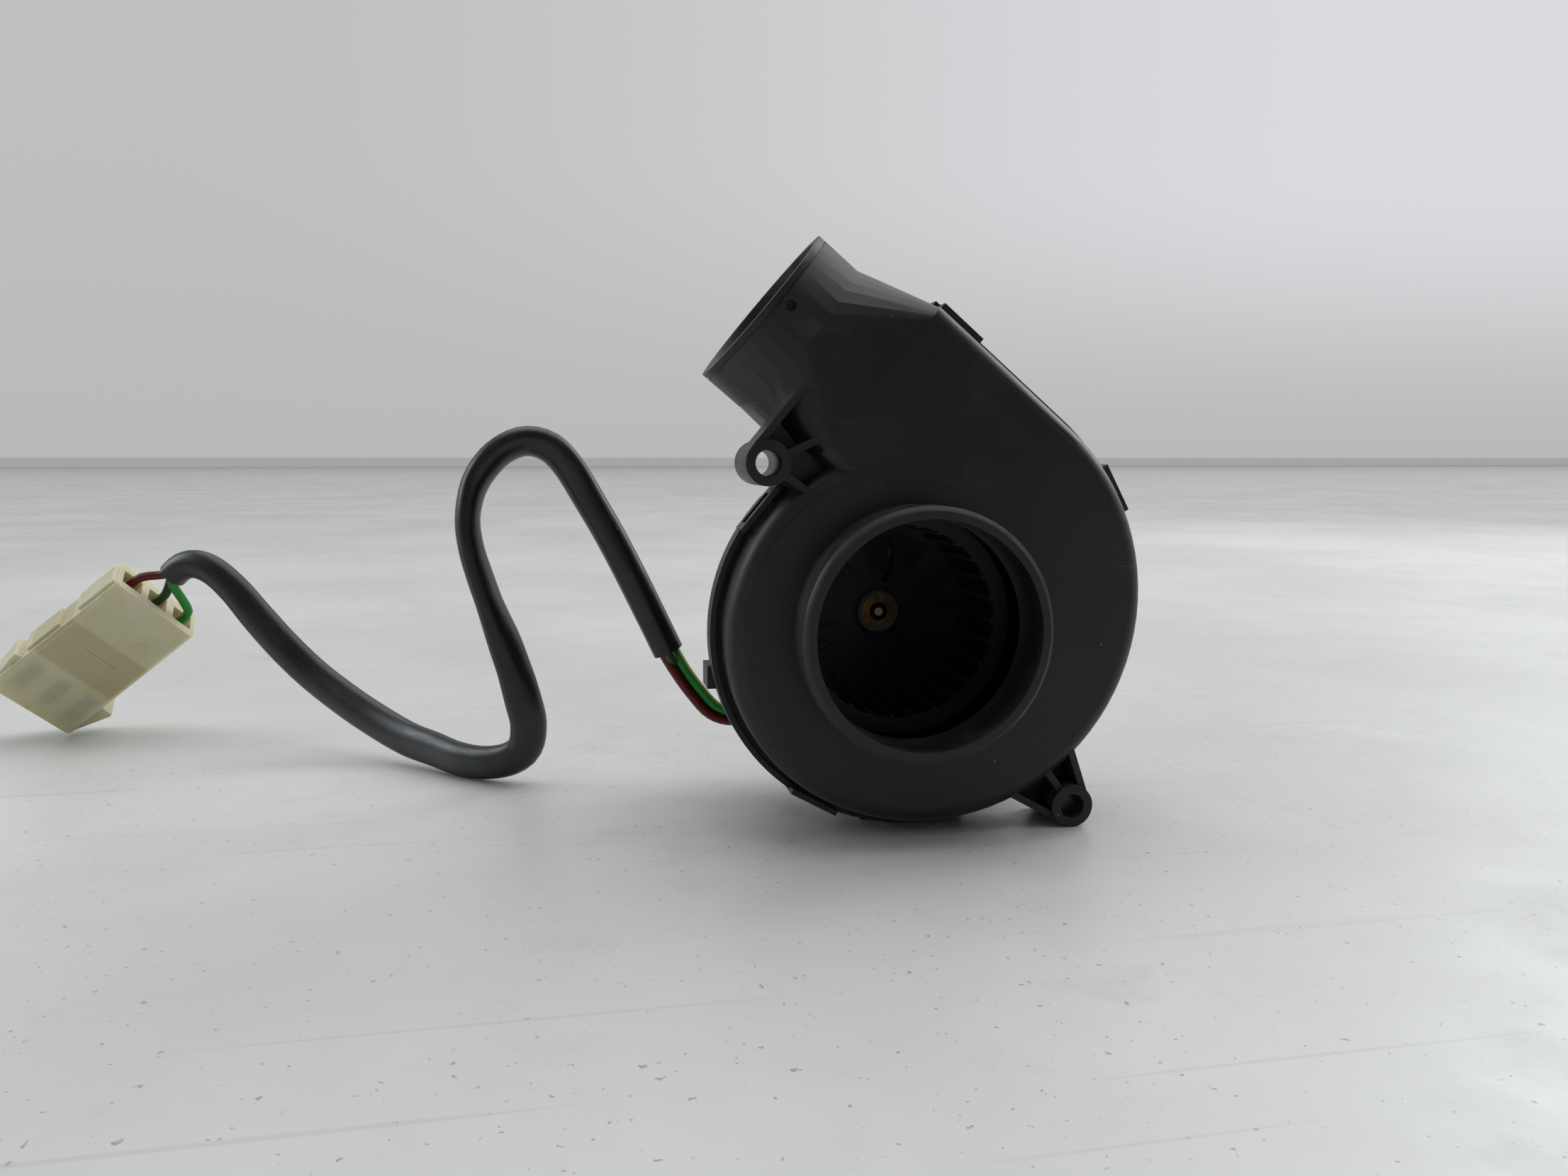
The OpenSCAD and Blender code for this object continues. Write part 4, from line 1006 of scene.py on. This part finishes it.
def move_dome_slot(piece):
    """Fills the dome's slot that runs round the axis, and cuts a curved one that runs outwards
    instead."""
    # The fill, in millimetres and degrees. It follows the dome's slope and ends at its back.
    dome_r, dome_y, dome_slope, back_y = 5.35, 32.77, 0.3172, 36.87
    near_r, far_r, first_angle, whole_angle, steps = 9.4, 13.2, 48, 48, 16

    def dome(r):
        return dome_y + (r - dome_r) * dome_slope

    verts = []
    for k in range(steps + 1):
        turn = math.radians(first_angle + whole_angle * k / steps)
        for r, y in ((near_r, dome(near_r)), (far_r, dome(far_r)), (far_r, back_y),
                     (near_r, back_y)):
            verts.append((r * MM * math.cos(turn), y * MM, r * MM * math.sin(turn)))
    faces = ring_faces(steps + 1, 4)
    faces += [(3, 2, 1, 0), tuple(4 * steps + m for m in range(4))]
    carve(piece, mesh_from("fill", verts, faces), "UNION")

    centre, bend = (-6.9 * MM, 11.6 * MM), 10.2 * MM
    cut_from, cut_to, cut_angle, cut_sweep, cut_steps = 31 * MM, 36.88 * MM, -36, 48, 12
    end_half, swell = 0.3, 0.4
    sides = ([], [])
    for k in range(cut_steps + 1):
        share = k / cut_steps
        turn = math.radians(cut_angle + cut_sweep * share)
        half = (end_half + swell * math.sin(math.pi * min(share + 0.12, 1) ** 0.8)) * MM
        for side, way in zip(sides, (-1, 1)):
            side.append((centre[0] + (bend + way * half) * math.cos(turn),
                         centre[1] + (bend + way * half) * math.sin(turn)))
    carve(piece, prism("slot", sides[0] + sides[1][::-1], cut_from, cut_to), "DIFFERENCE")


make_screws()
make_windings()


# ---------- mouldings ----------

round_edges("front_cover", "cover_moulding", HOUSING, "housing", 0.28 * MM,
            normals_by="CORNER_ANGLE")
round_edges("rear_shell", "shell_moulding", REAR, "housing", 0.28 * MM)
round_edges("motor_base", "base_moulding", BASE, "housing", 0.3 * MM)
round_edges("impeller", "impeller_moulding", IMPELLER, "rotor", 0.12 * MM,
            shape_more=move_dome_slot)

for node, material in {
    "hub_bush": BRASS, "shaft": STEEL, "rotor_cup": DRAWN, "ring_magnet": FERRITE,
    "retaining_clip": SPRING, "bearing_tube": BRASS, "front_bearing": BRONZE,
    "rear_bearing": BRONZE, "thrust_washers": WASHER, "stator_core": LAMINATIONS,
    "stator_insulators": INSULATOR, "circuit_board": BOARD, "hall_sensor": EPOXY,
    "driver_chip": EPOXY, "capacitor": CERAMIC, "cable_grommet": RUBBER,
}.items():
    dress_node(node, material)


# ---------- floor, backdrop and light ----------

def table_material():
    """Pale painted table top, rubbed, with fine scratches and a little grit."""
    material, w, shader, place = new_material("table")
    cloud = w.noise(place, 7.0, 5.0, 0.6)
    tint = w.blend(w.band(cloud, 0.3, 0.7), (0.56, 0.575, 0.55), (0.66, 0.67, 0.655))
    rub = w.noise(place, 45.0, 6.0, 0.7)
    tint = w.blend(w.band(rub, 0.56, 0.75, 0.0, 0.3), tint, (0.42, 0.43, 0.41))
    grit = w.noise(place, 700.0, 2.0, 0.6)
    tint = w.blend(w.band(grit, 0.675, 0.73, 0.0, 0.65), tint, (0.22, 0.21, 0.19))
    for turn, stretch, level in ((0.5, 40.0, 0.685), (-0.9, 55.0, 0.69), (1.9, 30.0, 0.7)):
        lie = w.node("ShaderNodeMapping")
        w.join(place, lie.inputs["Vector"])
        lie.inputs["Rotation"].default_value = (0, 0, turn)
        lie.inputs["Scale"].default_value = (stretch / 8, stretch * 8, 1.0)
        line = w.noise(lie.outputs[0], 1.0, 2.0, 0.5, 0.3)
        tint = w.blend(w.band(line, level, level + 0.05, 0.0, 0.22), tint, (0.36, 0.36, 0.35))
    w.join(tint, shader.inputs["Base Color"])
    w.join(w.band(rub, 0.3, 0.7, 0.32, 0.5), shader.inputs["Roughness"])
    return material


def backdrop_material():
    """Plain pale wall, seen at a painted brightness that rises to the right and is lower near the
    bottom, with a painted shadow line along its foot, at the table's back edge.
    """
    material, w, shader, place = new_material("backdrop")
    shader.inputs["Roughness"].default_value = 0.9
    parts = w.node("ShaderNodeSeparateXYZ")
    w.join(place, parts.inputs[0])
    # Painted light: the wall is brighter to the right and darker towards the bottom.
    side = w.band(parts.outputs["X"], -3.0, 7.0)
    tint = w.blend(side, (0.515, 0.52, 0.52), (0.71, 0.70, 0.735))
    tint = w.blend(w.band(parts.outputs["Z"], 0.0, 2.5), (0.49, 0.49, 0.49), tint)
    # Painted shadow: a darker grey strip along the wall's foot, where it meets the table's back
    # edge.
    foot_shadow = w.band(parts.outputs["Z"], 0.045, 0.02)
    tint = w.blend(foot_shadow, tint, (0.37, 0.38, 0.38))
    w.join(tint, shader.inputs["Base Color"])
    glow = w.node("ShaderNodeEmission")
    w.join(tint, glow.inputs["Color"])
    path = w.node("ShaderNodeLightPath")
    seen = w.maths("MAXIMUM", path.outputs["Is Camera Ray"], path.outputs["Is Glossy Ray"])
    seen = w.maths("MAXIMUM", seen, path.outputs["Is Transmission Ray"])
    choose = w.node("ShaderNodeMixShader")
    w.join(seen, choose.inputs[0])
    w.join(shader.outputs[0], choose.inputs[1])
    w.join(glow.outputs[0], choose.inputs[2])
    output = next(n for n in w.tree.nodes if n.type == "OUTPUT_MATERIAL")
    w.join(choose.outputs[0], output.inputs["Surface"])
    return material


FLOOR_Z = -35.815 * MM  # the fan's lowest point, which rests on the table
TABLE_NEAR, TABLE_FAR, HALF_WIDE, WALL_FOOT, WALL_TOP = -3, 9.0, 40.0, -0.1, 9.0


def make_stage():
    near, far, wide = TABLE_NEAR, TABLE_FAR, HALF_WIDE
    table = add_object("table", mesh_from("table", [
        (-wide, near, FLOOR_Z), (wide, near, FLOOR_Z), (wide, far, FLOOR_Z),
        (-wide, far, FLOOR_Z)], [(0, 1, 2, 3)]), table_material())
    wall = add_object("backdrop", mesh_from("backdrop", [
        (-wide, far, WALL_FOOT), (wide, far, WALL_FOOT), (wide, far, WALL_TOP),
        (-wide, far, WALL_TOP)], [(0, 1, 2, 3)]), backdrop_material())


def add_lamp(name, place, aim, size, power, colour=(1, 1, 1)):
    data = bpy.data.lights.new(name, "AREA")
    data.shape = "RECTANGLE"
    data.size, data.size_y = size
    data.energy = power
    data.color = colour
    lamp = bpy.data.objects.new(name, data)
    bpy.context.scene.collection.objects.link(lamp)
    lamp.location = place
    lamp.rotation_euler = (Vector(aim) - Vector(place)).to_track_quat("-Z", "Y").to_euler()
    return lamp


def add_soft_sun(name, from_where, strength, spread):
    data = bpy.data.lights.new(name, "SUN")
    data.energy = strength
    data.angle = math.radians(spread)
    lamp = bpy.data.objects.new(name, data)
    bpy.context.scene.collection.objects.link(lamp)
    lamp.rotation_euler = Vector(from_where).to_track_quat("Z", "Y").to_euler()


def light_scene():
    """A grey surround, paler behind the fan, with a soft ceiling, two windows and a wall."""
    world = bpy.data.worlds.new("tent")
    bpy.context.scene.world = world
    world.use_nodes = True
    tree = world.node_tree
    tree.nodes.clear()
    w = Wiring(tree)
    where = w.node("ShaderNodeTexCoord").outputs["Generated"]
    parts = w.node("ShaderNodeSeparateXYZ")
    w.join(where, parts.inputs[0])
    front = w.band(parts.outputs["Y"], -0.75, 0.1)
    tent = w.node("ShaderNodeBackground")
    w.join(w.blend(front, (0.17, 0.172, 0.178), (0.5, 0.505, 0.52)), tent.inputs["Color"])
    pale = w.node("ShaderNodeBackground")
    pale.inputs["Color"].default_value = (0.55, 0.55, 0.56, 1)
    choose = w.node("ShaderNodeMixShader")
    w.join(w.node("ShaderNodeLightPath").outputs["Is Camera Ray"], choose.inputs[0])
    w.join(tent.outputs[0], choose.inputs[1])
    w.join(pale.outputs[0], choose.inputs[2])
    w.join(choose.outputs[0], w.node("ShaderNodeOutputWorld").inputs["Surface"])
    add_soft_sun("ceiling", (0.2, 0.3, 1.0), 1.5, 70)
    add_lamp("left window", (-0.7, 0.25, 0.35), (0, 0.02, 0), (0.3, 0.6), 1.0, (0.88, 0.94, 1.0))
    add_lamp("right window", (0.75, 0.45, 0.55), (0, 0.02, 0), (0.4, 0.6), 2.5, (0.95, 0.97, 1.0))
    # This one only adds reflections.
    glow = add_lamp("pale wall on the left", (-0.9, 0.1, 0.4), (-0.02, 0.02, 0), (0.5, 0.4),
                    1.6, (0.86, 0.93, 1.0))
    glow.visible_diffuse = False


make_stage()
light_scene()
bpy.context.scene.view_settings.view_transform = "Standard"
